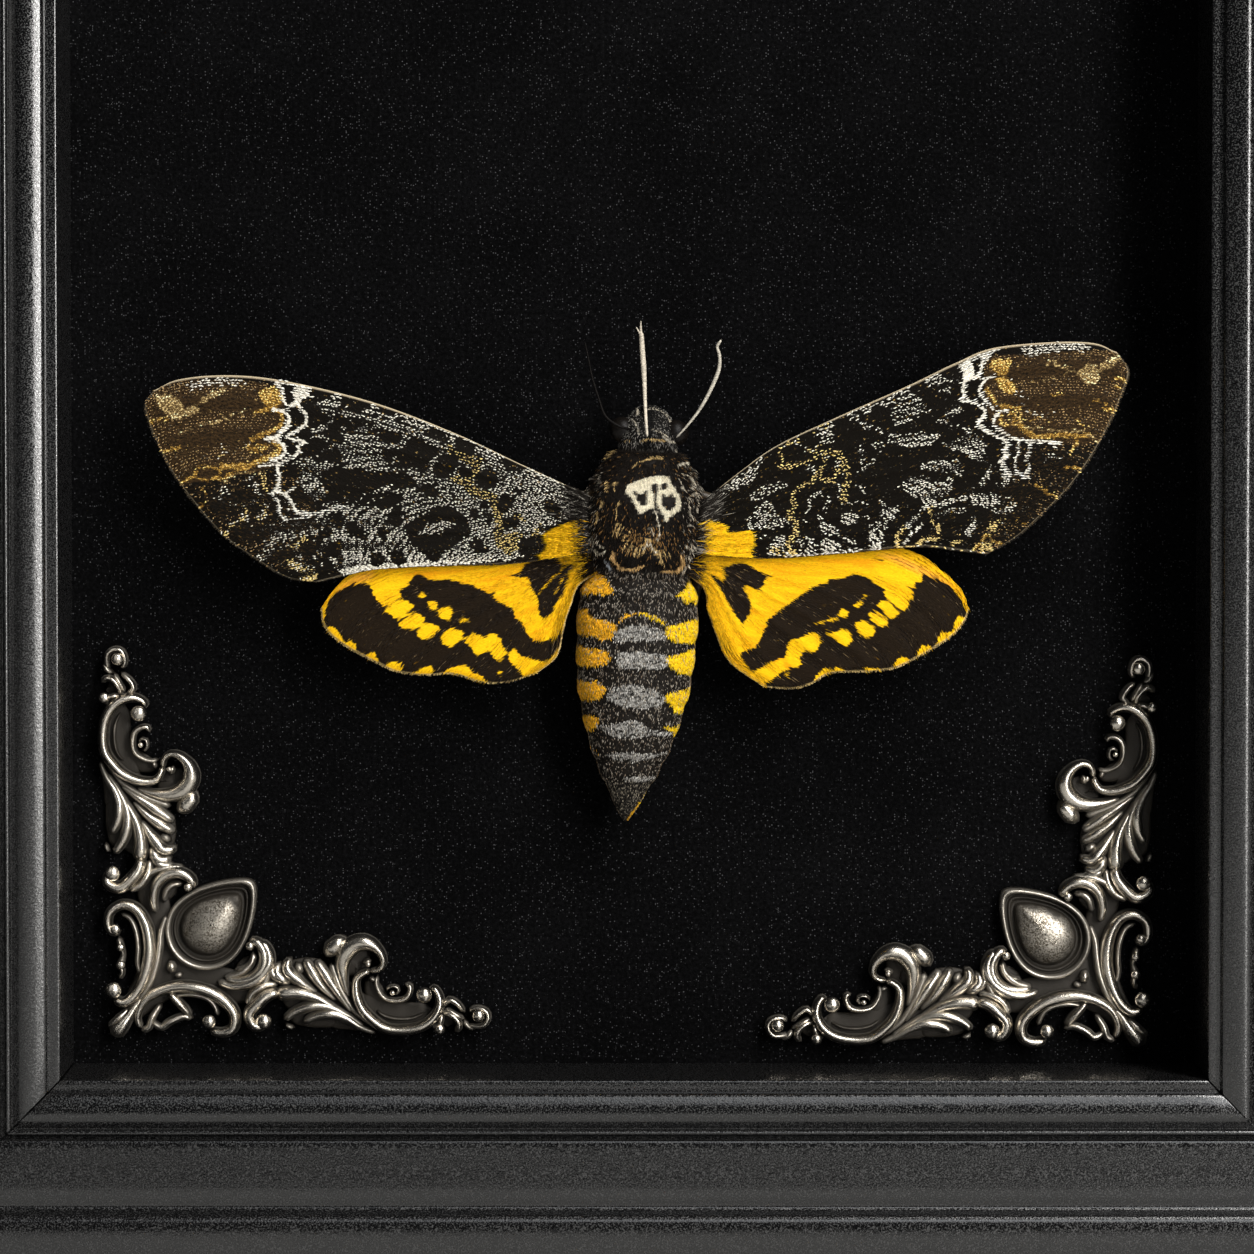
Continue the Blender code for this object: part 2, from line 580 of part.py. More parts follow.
def build_body(materials, collection, body):
    """Head with eyes, thorax with its shoulder covers, and the ringed abdomen."""
    thorax = sections_object("thorax", THORAX_SECTIONS, materials["body"], collection)
    shoulders = []
    for side in (-1, 1):
        bm = bmesh.new()
        bmesh.ops.create_uvsphere(bm, u_segments=10, v_segments=7, radius=1.0)
        bmesh.ops.scale(bm, vec=(1.9 * MM, 1.5 * MM, 3.6 * MM), verts=bm.verts)
        pad = mesh_object("shoulder", bm, materials["body"], collection)
        pad.location = Vector((side * 4.4, -10.0, 2.6)) * MM
        pad.rotation_euler = (math.radians(-16), side * math.radians(-12), 0)
        shoulders.append(pad)
    thorax = combine("thorax", thorax, shoulders, materials["body"], collection)
    head = sections_object("head", HEAD_SECTIONS, materials["body"], collection)
    sockets = []
    for side, word in ((-1, "left"), (1, "right")):
        x, z, h = EYE_PLACE
        place = Vector((side * x, -h, z)) * MM
        for radius, made in ((EYE_RADIUS, "eye_" + word), (EYE_RADIUS + GAP, "socket")):
            bm = bmesh.new()
            bmesh.ops.create_uvsphere(bm, u_segments=14, v_segments=9, radius=radius)
            obj = mesh_object(made, bm, materials["eye"], collection)
            obj.location = place
            if made == "socket":
                sockets.append(obj)
            else:
                obj.parent = body
    head = combine("head", head, sockets, materials["body"], collection, "DIFFERENCE")
    abdomen = sections_object("abdomen", abdomen_sections(), materials["abdomen"], collection)
    for obj in (thorax, head, abdomen):
        obj.parent = body


def build_limbs(materials, collection, specimen):
    """Feelers, tongue and the six folded legs."""
    for word, route in ANTENNA_ROUTES.items():
        points = route_in_metres(route, 12)
        radii = [0.34 * MM, 0.42 * MM, 0.42 * MM, 0.36 * MM, 0.2 * MM]
        tube_object("antenna_" + word, points, radii, materials["feeler"],
                    collection).parent = specimen
    points = route_in_metres(PROBOSCIS_ROUTE, 9)
    tube_object("proboscis", points, [0.42 * MM, 0.38 * MM, 0.34 * MM, 0.22 * MM],
                materials["feeler"], collection).parent = specimen
    for pair, (along, route) in LEG_ROUTES.items():
        for side, word in ((-1, "left"), (1, "right")):
            root = beside_thorax(side, along, LEG_ROOT_HEIGHT, LEG_RADIUS[0] + 1.6 * GAP / MM)
            points = route_in_metres(((*root, LEG_ROOT_HEIGHT), *route), 11, side)
            radii = [radius * MM for radius in LEG_RADIUS]
            tube_object(f"leg_{pair}_{word}", points, radii, materials["leg"],
                        collection).parent = specimen


def build_wings(materials, collection, specimen):
    """Two forewings over two hindwings."""
    fore_lift = (FOREWING_HEIGHT, 1.0, 0.7)
    hind_lift = (HINDWING_HEIGHT, 0.4, 0.3)
    wings = (
        ("forewing_left", LEFT_FOREWING, FOREWING_ROOT, FOREWING_VEINS, 11, fore_lift),
        ("forewing_right", RIGHT_FOREWING, FOREWING_ROOT, FOREWING_VEINS, 11, fore_lift),
        ("hindwing_left", LEFT_HINDWING, HINDWING_ROOT, HINDWING_VEINS, 9, hind_lift),
        ("hindwing_right", RIGHT_HINDWING, HINDWING_ROOT, HINDWING_VEINS, 9, hind_lift),
    )
    for name, outline, root, veins, columns, lift in wings:
        side = name.split("_")[1]
        wing = build_wing(name, {**outline, "side": side}, root, veins, columns, lift,
                          materials["wing"], collection)
        wing.parent = specimen


def stroke_mesh(order, points, widths, heights, material, collection):
    """One blade of relief along a path in the ornament's plane, sunk half into the base."""
    level = ORNAMENT_BASE + STROKE_STAGGER * (order % 7)
    smooth = curve_through([Vector(point) for point in points], 6)
    length = sum((b - a).length for a, b in zip(smooth, smooth[1:]))
    path = resample(smooth, max(3, min(10, round(length / STROKE_STEP) + 1)))
    rings = []
    for i, point in enumerate(path):
        before, after = path[max(i - 1, 0)], path[min(i + 1, len(path) - 1)]
        along = (after - before).normalized()
        across = Vector((-along.y, along.x))
        t = i / (len(path) - 1)
        taper = 0.55 if i in (0, len(path) - 1) else 1.0
        width = between(widths, t) / 2 * taper
        height = between(heights, t) / 2 * (0.7 if taper < 1 else 1.0)
        ring = []
        for k in range(STROKE_SIDES):
            angle = 2 * math.pi * k / STROKE_SIDES
            flat = point + across * width * math.cos(angle)
            ring.append(Vector((flat.x, -height * math.sin(angle) - level, flat.y)) * MM)
        rings.append(ring)
    return mesh_object("stroke", loft(rings), material, collection)


def drop_outline(radius, count):
    """Points of a drop: a round lower end and two flanks drawn to a point."""
    centre, tip = Vector(JEWEL_CENTRE), Vector(JEWEL_POINT)
    forward = (tip - centre).normalized()
    reach = (tip - centre).length * radius / JEWEL_RADIUS
    across = Vector((-forward.y, forward.x))
    found = []
    for i in range(count):
        angle = 2 * math.pi * i / count
        stretch = math.cos(angle)
        length = radius * stretch if stretch < 0 else reach * stretch
        narrow = 1.0 if stretch < 0 else 1 - 0.55 * stretch**2.2
        found.append(centre + forward * length + across * radius * math.sin(angle) * narrow)
    return found


def build_jewel(material, collection):
    """The domed drop and its ring, as closed meshes for the union."""
    shapes = (
        (((1.0, -0.6), (1.0, 0.55), (0.86, 1.0), (0.76, 0.72), (0.6, 0.3)), JEWEL_RADIUS + 0.9),
        (((0.74, -0.6), (0.74, 0.7), (0.62, 1.6), (0.4, 2.3), (0.14, JEWEL_RISE)),
         JEWEL_RADIUS + 0.9),
    )
    made = []
    centre = Vector(JEWEL_CENTRE)
    for profile, radius in shapes:
        rings = []
        for part, height in profile:
            ring = [centre + (p - centre) * part for p in drop_outline(radius, 20)]
            rings.append([Vector((p.x, -height - ORNAMENT_BASE, p.y)) * MM for p in ring])
        made.append(mesh_object("jewel", loft(rings), material, collection))
    return made


def build_ornament(side, materials, collection):
    """One corner ornament: strokes for both arms, the corner and the jewel, all in one piece."""
    material = materials["silver"]
    turned = [
        ([(y + TURN_SHIFT[0], x + TURN_SHIFT[1]) for x, y in points], *sizes)
        for points, *sizes in ARM_STROKES
    ]
    pieces = [
        stroke_mesh(order, *stroke, material, collection)
        for order, stroke in enumerate((*ARM_STROKES, *turned, *CORNER_STROKES))
    ]
    pieces.extend(build_jewel(material, collection))
    joined = combine("ornament_" + side, pieces[0], pieces[1:], material, collection,
                     solver="MANIFOLD")
    bm = bmesh.new()
    bmesh.ops.create_cube(bm, size=1.0)
    slab = 2 * RAIL_WIDTH
    bmesh.ops.scale(bm, vec=(4 * slab, slab, 4 * slab), verts=bm.verts)
    behind = mesh_object("slab", bm, material, collection)
    behind.location = (0, slab / 2, 0)
    joined = combine("ornament_" + side, joined, [behind], material, collection, "DIFFERENCE")
    thin_out(joined, ORNAMENT_SHARE)
    if side == "right":
        bm = bmesh.new()
        bm.from_mesh(joined.data)
        bmesh.ops.scale(bm, vec=(-1, 1, 1), verts=bm.verts)
        bmesh.ops.reverse_faces(bm, faces=bm.faces)
        bm.to_mesh(joined.data)
        bm.free()
    sign = -1 if side == "right" else 1
    shift = ORNAMENT_SHIFT[side]
    joined.location = (
        sign * (shift[0] * MM - OPENING_WIDTH / 2),
        VELVET_Y,
        RAIL_WIDTH + shift[1] * MM,
    )
    return joined


def main():
    """Build the box, the ornaments and the moth."""
    clear_scene()
    collection = bpy.data.collections.new("Hawkmoth shadow box")
    bpy.context.scene.collection.children.link(collection)
    materials = {
        "frame": make_material("Black satin moulding", (0.012, 0.012, 0.013), 0.42),
        "velvet": make_material("Black velvet", (0.006, 0.006, 0.007), 0.95),
        "backing": make_material("Backing board", (0.05, 0.045, 0.04), 0.85),
        "silver": make_material("Antique silver", (0.5, 0.47, 0.42), 0.34, 1.0),
        "body": make_material("Dark brown hair", (0.04, 0.03, 0.022), 0.85),
        "abdomen": make_material("Ochre and black hair", (0.35, 0.2, 0.03), 0.85),
        "wing": make_material("Wing scales", (0.09, 0.07, 0.05), 0.75),
        "eye": make_material("Dark eye", (0.01, 0.008, 0.007), 0.2),
        "feeler": make_material("Pale feeler", (0.45, 0.4, 0.33), 0.6),
        "leg": make_material("Leg scales", (0.06, 0.045, 0.03), 0.8),
    }
    build_box(materials, collection)
    for side in ("left", "right"):
        build_ornament(side, materials, collection)
    specimen = bpy.data.objects.new("specimen", None)
    specimen.location = (THORAX_X, VELVET_Y, THORAX_Z)
    collection.objects.link(specimen)
    body = bpy.data.objects.new("body axis", None)
    body.parent = specimen
    body.rotation_euler = (0, BODY_LEAN, 0)
    collection.objects.link(body)
    build_body(materials, collection, body)
    build_wings(materials, collection, specimen)
    build_limbs(materials, collection, specimen)


main()
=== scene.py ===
"""A spread hawkmoth on velvet in a black shadow box with two antique silver corners.

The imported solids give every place. This script dresses the box, casts the corners in fine
relief, and builds the moth's skin, wings and coat of hair over them. Plain sizes are
millimetres unless a comment says otherwise, and colours are linear red, green and blue.
"""

import json
import logging
import math
from dataclasses import dataclass, field
from enum import Enum

import bmesh
import bpy
import numpy as np
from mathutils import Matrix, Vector

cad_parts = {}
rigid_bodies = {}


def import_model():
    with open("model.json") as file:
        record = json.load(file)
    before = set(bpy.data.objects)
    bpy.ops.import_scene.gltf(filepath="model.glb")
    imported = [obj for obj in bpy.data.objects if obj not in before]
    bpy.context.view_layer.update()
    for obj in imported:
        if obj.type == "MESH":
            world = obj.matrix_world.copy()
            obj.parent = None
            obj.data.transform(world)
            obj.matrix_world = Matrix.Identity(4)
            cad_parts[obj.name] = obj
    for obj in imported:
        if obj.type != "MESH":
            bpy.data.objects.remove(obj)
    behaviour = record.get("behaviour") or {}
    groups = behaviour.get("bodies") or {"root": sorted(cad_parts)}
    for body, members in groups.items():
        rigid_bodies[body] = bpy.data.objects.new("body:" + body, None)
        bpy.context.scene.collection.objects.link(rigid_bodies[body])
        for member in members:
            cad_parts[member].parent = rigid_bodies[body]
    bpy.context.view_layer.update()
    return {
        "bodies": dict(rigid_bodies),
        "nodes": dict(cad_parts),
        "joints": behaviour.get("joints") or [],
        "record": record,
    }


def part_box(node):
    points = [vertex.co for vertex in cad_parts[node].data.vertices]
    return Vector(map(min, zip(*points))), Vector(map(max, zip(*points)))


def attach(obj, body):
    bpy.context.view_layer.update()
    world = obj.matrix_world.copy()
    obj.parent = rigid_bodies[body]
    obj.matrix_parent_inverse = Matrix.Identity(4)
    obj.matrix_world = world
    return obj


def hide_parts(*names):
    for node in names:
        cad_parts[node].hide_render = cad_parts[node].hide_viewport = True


MM = 0.001
Array = np.ndarray
Colour = tuple[float, float, float]
Pair = tuple[float, float]
log = logging.getLogger("hawkmoth")


class Side(Enum):
    """The two sides as the viewer sees them."""

    LEFT = -1
    RIGHT = 1

    @property
    def word(self) -> str:
        """The side's name in node names."""
        return self.name.lower()


class Graph:
    """Short calls that add and join the nodes of one tree."""

    def __init__(self, tree: bpy.types.NodeTree) -> None:
        """Keep the tree."""
        self.tree = tree

    def feed(self, node: bpy.types.Node, given: dict) -> bpy.types.Node:
        """Link or set a node's inputs.

        Args:
            node: the node.
            given: input name or number to a socket, a number, a colour or a vector.
        Returns:
            The node.
        """
        for name, value in given.items():
            socket = node.inputs[name]
            if isinstance(value, bpy.types.NodeSocket):
                self.tree.links.new(value, socket)
            else:
                socket.default_value = (*value, 1.0) if socket.type == "RGBA" else value
        return node

    def add(self, kind: str, given: dict, **settings: object) -> bpy.types.Node:
        """Add a node.

        Args:
            kind: the node's type name without its ShaderNode prefix.
            given: what feeds its inputs.
            settings: attributes set on the node.
        Returns:
            The new node.
        """
        node = self.tree.nodes.new("ShaderNode" + kind)
        for name, value in settings.items():
            setattr(node, name, value)
        return self.feed(node, given)

    def math(self, operation: str, a: object, b: object) -> object:
        """A Math node's output for two numbers or sockets."""
        return self.add("Math", {0: a, 1: b}, operation=operation).outputs[0]

    def times(self, a: object, b: object) -> object:
        """The product of two numbers or sockets."""
        return self.math("MULTIPLY", a, b)

    def span(self, value: object, low: float, high: float, to_low: float = 0.0,
             to_high: float = 1.0) -> object:
        """A smooth, clamped change of the value from one span to another."""
        ends = {"From Min": low, "From Max": high, "To Min": to_low, "To Max": to_high}
        return self.add("MapRange", {"Value": value, **ends},
                        interpolation_type="SMOOTHSTEP").outputs["Result"]

    def mix(self, part: object, a: object, b: object, blend: str = "MIX") -> object:
        """A colour Mix node's output: this part of b over a."""
        return self.add("Mix", {0: part, 6: a, 7: b}, data_type="RGBA",
                        blend_type=blend).outputs[2]

    def noise(self, vector: object, scale: object, detail: float, rough: float) -> object:
        """A noise texture's value; detail is its octaves, rough the strength of the finer ones."""
        return self.add("TexNoise", {"Vector": vector, "Scale": scale, "Detail": detail,
                                     "Roughness": rough}).outputs["Fac"]

    def cells(self, vector: object, scale: float) -> bpy.types.Node:
        """A Voronoi texture."""
        return self.add("TexVoronoi", {"Vector": vector, "Scale": scale}, feature="F1")

    def attribute(self, name: str, output: str = "Fac") -> object:
        """A mesh attribute's value, vector or colour."""
        return self.add("Attribute", {}, attribute_name=name).outputs[output]

    def place(self) -> object:
        """Object coordinates."""
        return self.add("TexCoord", {}).outputs["Object"]

    def stretched(self, vector: object, *scale: float) -> object:
        """Coordinates scaled along each axis."""
        return self.add("Mapping", {"Vector": vector, "Scale": scale}).outputs["Vector"]

    def bump(self, height: object, distance: float, strength: float) -> object:
        """A normal that follows a height, whose depth is in metres."""
        return self.add("Bump", {"Height": height, "Distance": distance,
                                 "Strength": strength}).outputs["Normal"]


class Effect:
    """A shader node group, built once and placed in each material with its own values."""

    name: str
    # Input names in order, each with its start value, or None for a vector.
    inputs: dict[str, float | None]
    outputs: tuple[str, ...]

    def build(self) -> bpy.types.NodeTree:
        """Make the group.

        Returns:
            The node group.
        """
        tree = bpy.data.node_groups.new(self.name, "ShaderNodeTree")
        for word, start in self.inputs.items():
            kind = "NodeSocketVector" if start is None else "NodeSocketFloat"
            socket = tree.interface.new_socket(word, in_out="INPUT", socket_type=kind)
            if start is not None:
                socket.default_value = start
        for word in self.outputs:
            tree.interface.new_socket(word, in_out="OUTPUT", socket_type="NodeSocketFloat")
        graph = Graph(tree)
        found = self.inside(graph, tree.nodes.new("NodeGroupInput").outputs)
        graph.feed(tree.nodes.new("NodeGroupOutput"), found)
        return tree

    def place(self, graph: Graph, *values: object) -> object:
        """Put the group in a material.

        Args:
            graph: the material's graph.
            values: what feeds its inputs, in their order.
        Returns:
            The group node's outputs.
        """
        tree = bpy.data.node_groups.get(self.name) or self.build()
        return graph.add("Group", dict(zip(self.inputs, values)), node_tree=tree).outputs


class BrokenMask(Effect):
    """Breaks a soft mask into flecks at its edge, as scales do."""

    name = "Broken mask"
    inputs = {"Vector": None, "Mask": 0.5, "Scale": 400.0, "Break": 0.5}
    outputs = ("Mask",)

    def inside(self, graph: Graph, given: object) -> dict[str, object]:
        """The group's own nodes.

        Args:
            graph: the group's graph.
            given: what comes in.
        Returns:
            What goes out.
        """
        fine = graph.noise(given["Vector"], given["Scale"], 2.0, 0.7)
        shift = graph.times(graph.math("SUBTRACT", fine, 0.5), graph.times(given["Break"], 4.0))
        return {"Mask": graph.span(graph.math("ADD", given["Mask"], shift), 0.32, 0.68)}


class FineGrain(Effect):
    """A fine surface grain as a height, and a slow cloudy mask."""

    name = "Fine grain"
    inputs = {"Vector": None, "Fine": 6000.0, "Coarse": 300.0}
    outputs = ("Height", "Cloud")

    def inside(self, graph: Graph, given: object) -> dict[str, object]:
        """The group's own nodes.

        Args:
            graph: the group's graph.
            given: what comes in.
        Returns:
            What goes out.
        """
        fine = graph.noise(given["Vector"], given["Fine"], 3.0, 0.6)
        cloud = graph.noise(given["Vector"], given["Coarse"], 4.0, 0.55)
        both = graph.math("ADD", graph.times(fine, 0.7), graph.times(cloud, 0.3))
        return {"Height": both, "Cloud": cloud}


def start_material(name: str) -> tuple[bpy.types.Material, Graph, bpy.types.Node]:
    """A new node material.

    Args:
        name: the material's name.
    Returns:
        The material, its graph and its Principled node.
    """
    material = bpy.data.materials.new(name)
    material.use_nodes = True
    return material, Graph(material.node_tree), material.node_tree.nodes["Principled BSDF"]


@dataclass(frozen=True)
class SatinBlack:
    """Black satin lacquer with a fine leathery grain and edges rubbed a little paler."""

    colour: Colour = (0.0016, 0.0016, 0.0018)
    cloud: Colour = (0.0032, 0.0031, 0.0031)
    worn: Colour = (0.011, 0.0105, 0.01)
    fleck: Colour = (0.03, 0.03, 0.03)

    def build(self) -> bpy.types.Material:
        """Make the finish.

        Returns:
            The material.
        """
        material, graph, shader = start_material("Satin black moulding")
        place = graph.place()
        grain = FineGrain().place(graph, place, 4300.0, 120.0)
        scuffs = graph.noise(place, 900.0, 4.0, 0.7)
        rubbed = graph.times(graph.attribute("edge"), graph.span(scuffs, 0.42, 0.62))
        cloudy = graph.mix(graph.span(grain["Cloud"], 0.35, 0.7, 0.0, 0.45), self.colour,
                           self.cloud)
        flecks = graph.noise(place, 5600.0, 2.0, 0.6)
        flecked = graph.mix(graph.span(flecks, 0.52, 0.68), cloudy, self.fleck)
        graph.feed(shader, {
            "Base Color": graph.mix(rubbed, flecked, self.worn), "Specular IOR Level": 0.85,
            "Roughness": graph.span(flecks, 0.4, 0.62, 0.09, 0.33),
            "Normal": graph.bump(grain["Height"], 0.00005, 0.55)})
        return material


@dataclass(frozen=True)
class Velvet:
    """Near-black velvet: a soft pile with tiny pale fibre ends."""

    colour: Colour = (0.0012, 0.0012, 0.0013)
    pile: Colour = (0.006, 0.006, 0.0065)
    speck: Colour = (0.062, 0.062, 0.065)

    def build(self) -> bpy.types.Material:
        """Make the finish.

        Returns:
            The material.
        """
        material, graph, shader = start_material("Black velvet")
        flat = graph.stretched(graph.place(), 1.0, 0.2, 1.0)
        grain = FineGrain().place(graph, flat, 2400.0, 60.0)
        specks = graph.cells(flat, 4100.0)
        chosen = graph.add("SeparateColor", {0: specks.outputs["Color"]}).outputs
        rare = graph.math("POWER", graph.span(chosen[0], 0.6, 1.0), 2.0)
        dot = graph.times(graph.span(specks.outputs["Distance"], 0.36, 0.16), rare)
        pile = graph.mix(graph.span(grain["Height"], 0.4, 0.68, 0.0, 0.5), self.colour, self.pile)
        graph.feed(shader, {
            "Base Color": graph.mix(dot, pile, self.speck), "Roughness": 0.95,
            "Specular IOR Level": 0.02, "Sheen Weight": 0.012, "Sheen Roughness": 0.45,
            "Normal": graph.bump(grain["Height"], 0.0003, 0.7)})
        return material


@dataclass(frozen=True)
class AntiqueSilver:
    """Warm old silver: bright on the raised lines, blackened where it lies low."""

    name: str = "Antique silver"
    bright: Colour = (0.62, 0.575, 0.5)
    dull: Colour = (0.27, 0.235, 0.19)
    # Black of the hollows' patina; on the jewel's dome the same black is painted shade, darkest at its
    # rim.
    tarnish_and_shade: Colour = (0.02, 0.016, 0.011)
    # The metal turns from black to clean between these heights, in mm.
    low: float = 1.08
    high: float = 2.6
    grainy: float = 0.35

    def build(self) -> bpy.types.Material:
        """Make the finish.

        Returns:
            The material.
        """
        material, graph, shader = start_material(self.name)
        grain = FineGrain().place(graph, graph.place(), 5200.0, 700.0)
        patchy = graph.times(graph.math("SUBTRACT", grain["Cloud"], 0.5), 1.1)
        height = graph.math("ADD", graph.attribute("relief"), patchy)
        clean = graph.span(height, self.low, self.high)
        mottle = graph.times(graph.span(grain["Height"], 0.38, 0.62), self.grainy)
        shiny = graph.mix(mottle, self.bright, self.dull)
        graph.feed(shader, {
            "Base Color": graph.mix(clean, self.tarnish_and_shade, shiny),
            "Roughness": graph.span(clean, 0.0, 1.0, 0.62, 0.27),
            "Metallic": graph.span(clean, 0.0, 0.6, 0.35, 1.0),
            "Normal": graph.bump(grain["Height"], 0.00008, 0.25 + 0.7 * self.grainy)})
        return material


@dataclass(frozen=True)
class BlackCard:
    """The backing board's matt card with faint fibres."""

    colour: Colour = (0.022, 0.021, 0.02)
    fibre: Colour = (0.045, 0.043, 0.04)

    def build(self) -> bpy.types.Material:
        """Make the finish.

        Returns:
            The material.
        """
        material, graph, shader = start_material("Black card")
        flat = graph.stretched(graph.place(), 1.0, 1.0, 0.35)
        grain = FineGrain().place(graph, flat, 1800.0, 90.0)
        graph.feed(shader, {
            "Base Color": graph.mix(graph.span(grain["Height"], 0.35, 0.7), self.colour,
                                    self.fibre),
            "Roughness": graph.span(grain["Cloud"], 0.3, 0.7, 0.78, 0.95),
            "Normal": graph.bump(grain["Height"], 0.0001, 0.6)})
        return material


def smooth_path(points: Array, steps: int) -> Array:
    """Points on a Catmull-Rom curve through the given ones.

    Args:
        points: rows of coordinates.
        steps: steps between one given point and the next.
    Returns:
        Rows of coordinates, ending on the last given point.
    """
    given = np.asarray(points, float)
    ends = np.vstack([2 * given[0] - given[1], given, 2 * given[-1] - given[-2]])
    t = (np.arange(steps) / steps)[:, None]
    found = []
    for a, b, c, d in zip(ends, ends[1:], ends[2:], ends[3:]):
        found.append(0.5 * (2 * b + (c - a) * t + (2 * a - 5 * b + 4 * c - d) * t**2
                            + (3 * b - a - 3 * c + d) * t**3))
    return np.vstack([*found, given[-1:]])


def spaced(path: Array, count: int) -> Array:
    """A path's points, evenly spaced along its length.

    Args:
        path: rows of coordinates.
        count: how many points.
    Returns:
        Rows of coordinates.
    """
    lengths = np.concatenate([[0.0], np.cumsum(np.linalg.norm(np.diff(path, axis=0), axis=1))])
    wanted = np.linspace(0, lengths[-1], count)
    return np.stack([np.interp(wanted, lengths, path[:, k]) for k in range(path.shape[1])], 1)


def lines(text: str) -> list[str]:
    """A table's rows: one on each line, where a deeper line carries on the one before."""
    return text.strip().replace("\n  ", " ").splitlines()


def fields(text: str) -> list[list[str]]:
    """A table's rows, parted at their bars."""
    return [line.split("|") for line in lines(text)]


def numbers(text: str) -> list[float]:
    """Numbers with blanks between them."""
    return [float(part) for part in text.split()]


def drawn(text: str) -> Array:
    """Points that are written as "right,down right,down"."""
    return np.array([[float(part) for part in pair.split(",")] for pair in text.split()])


def spread(values: list[float], count: int) -> Array:
    """A short evenly spaced list of values, read at more places."""
    return np.interp(np.linspace(0, 1, count), np.linspace(0, 1, len(values)), values)


def step(low: float, high: float, values: Array) -> Array:
    """A smooth step from 0 at low to 1 at high."""
    t = np.clip((np.asarray(values) - low) / (high - low), 0, 1)
    return t * t * (3 - 2 * t)


def unit(vectors: Array) -> Array:
    """Vectors scaled to length one."""
    return vectors / (np.linalg.norm(vectors, axis=-1, keepdims=True) + 1e-12)


def make_mesh(name: str, points: Array, faces: Array,
              material: bpy.types.Material) -> bpy.types.Object:
    """A smooth object from arrays of points and of faces with equally many corners.

    Args:
        name: the piece's name.
        points: rows of x, y, z in metres.
        faces: rows of point numbers.
        material: the finish.
    Returns:
        The object, linked to the scene.
    """
    faces = np.asarray(faces, np.int32)
    mesh = bpy.data.meshes.new(name)
    mesh.vertices.add(len(points))
    mesh.vertices.foreach_set("co", np.asarray(points, np.float32).ravel())
    mesh.loops.add(faces.size)
    mesh.loops.foreach_set("vertex_index", faces.ravel())
    mesh.polygons.add(len(faces))
    starts = np.arange(0, faces.size, faces.shape[1], dtype=np.int32)
    mesh.polygons.foreach_set("loop_start", starts)
    mesh.update(calc_edges=True)
    mesh.validate()
    mesh.shade_smooth()
    mesh.materials.append(material)
    obj = bpy.data.objects.new(name, mesh)
    bpy.context.scene.collection.objects.link(obj)
    return obj


def set_values(obj: bpy.types.Object, name: str, values: Array) -> None:
    """Write one number for each point as a mesh attribute."""
    made = obj.data.attributes.new(name, "FLOAT", "POINT")
    made.data.foreach_set("value", np.asarray(values, np.float32))


def set_tint(obj: bpy.types.Object, colours: Array) -> None:
    """Write one colour for each point as the attribute that hair is tinted by."""
    made = obj.data.color_attributes.new("tint", "FLOAT_COLOR", "POINT")
    rgba = np.concatenate([np.clip(colours, 0, 1), np.ones((len(colours), 1))], 1)
    made.data.foreach_set("color", rgba.astype(np.float32).ravel())


def set_map(obj: bpy.types.Object, places: Array) -> None:
    """Write the OFBake map from one place (u, v) for each point."""
    layer = obj.data.uv_layers.new(name="OFBake")
    index = np.empty(len(obj.data.loops), np.int32)
    obj.data.loops.foreach_get("vertex_index", index)
    layer.data.foreach_set("uv", places[index].astype(np.float32).ravel())


def grid_faces(rows: int, columns: int, wrap: bool = False) -> Array:
    """Quads of a grid of points.

    Args:
        rows: rows of points.
        columns: points in each row.
        wrap: join each row's end to its start.
    Returns:
        Rows of four point numbers.
    """
    across = columns if wrap else columns - 1
    i, j = np.meshgrid(np.arange(rows - 1), np.arange(across), indexing="ij")
    here, there = i.ravel() * columns, (i + 1).ravel() * columns
    j, after = j.ravel(), (j.ravel() + 1) % columns
    return np.stack([here + j, here + after, there + after, there + j], 1)


def ball(rows: int, sides: int, end: float) -> Array:
    """Directions over a ball, in rings round its axis.

    Args:
        rows: how many rings.
        sides: directions in each ring.
        end: angle from the axis to the first and the last ring.
    Returns:
        Rows of x, y, z, where z is the axis.
    """
    tilt = np.linspace(end, math.pi - end, rows)[:, None]
    turn = (np.arange(sides) * 2 * math.pi / sides)[None]
    return np.stack([np.sin(tilt) * np.cos(turn), np.sin(tilt) * np.sin(turn),
                     np.cos(tilt) + 0 * turn], -1).reshape(-1, 3)


def rework(obj: bpy.types.Object, steps: object) -> None:
    """Change an object's mesh and turn its faces outwards.

    Args:
        obj: the piece.
        steps: takes the open mesh and changes it.
    """
    bm = bmesh.new()
    bm.from_mesh(obj.data)
    steps(bm)
    bmesh.ops.recalc_face_normals(bm, faces=bm.faces)
    bm.to_mesh(obj.data)
    bm.free()


@dataclass
class Layout:
    """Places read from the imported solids, in metres."""

    # How far touching meshes stay apart. Then the thorax's middle: right of the box's middle,
    # and up from the window's lower edge.
    gap: float = 0.3
    middle: Pair = (1.1, 62.5)
    left: float = field(init=False)
    right: float = field(init=False)
    rail: float = field(init=False)
    top: float = field(init=False)
    front: float = field(init=False)
    back: float = field(init=False)
    velvet: float = field(init=False)
    # The middle of the thorax on the velvet's plane.
    specimen: Vector = field(init=False)

    def __post_init__(self) -> None:
        """Read the boxes of the rails and the pad."""
        self.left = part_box("frame_left")[1][0]
        self.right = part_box("frame_right")[0][0]
        (_, self.front, _), (_, self.back, self.rail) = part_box("frame_bottom")
        self.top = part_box("frame_top")[0][2]
        self.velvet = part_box("velvet_pad")[0][1] - self.gap * MM
        across, up = self.middle
        self.specimen = Vector((across * MM, self.velvet, self.rail + up * MM))

    def world(self, x: Array, height: Array, z: Array) -> Array:
        """Specimen millimetres to rows of the scene's metres."""
        origin = self.specimen
        return np.stack([origin.x + x * MM, origin.y - height * MM, origin.z + z * MM], -1)


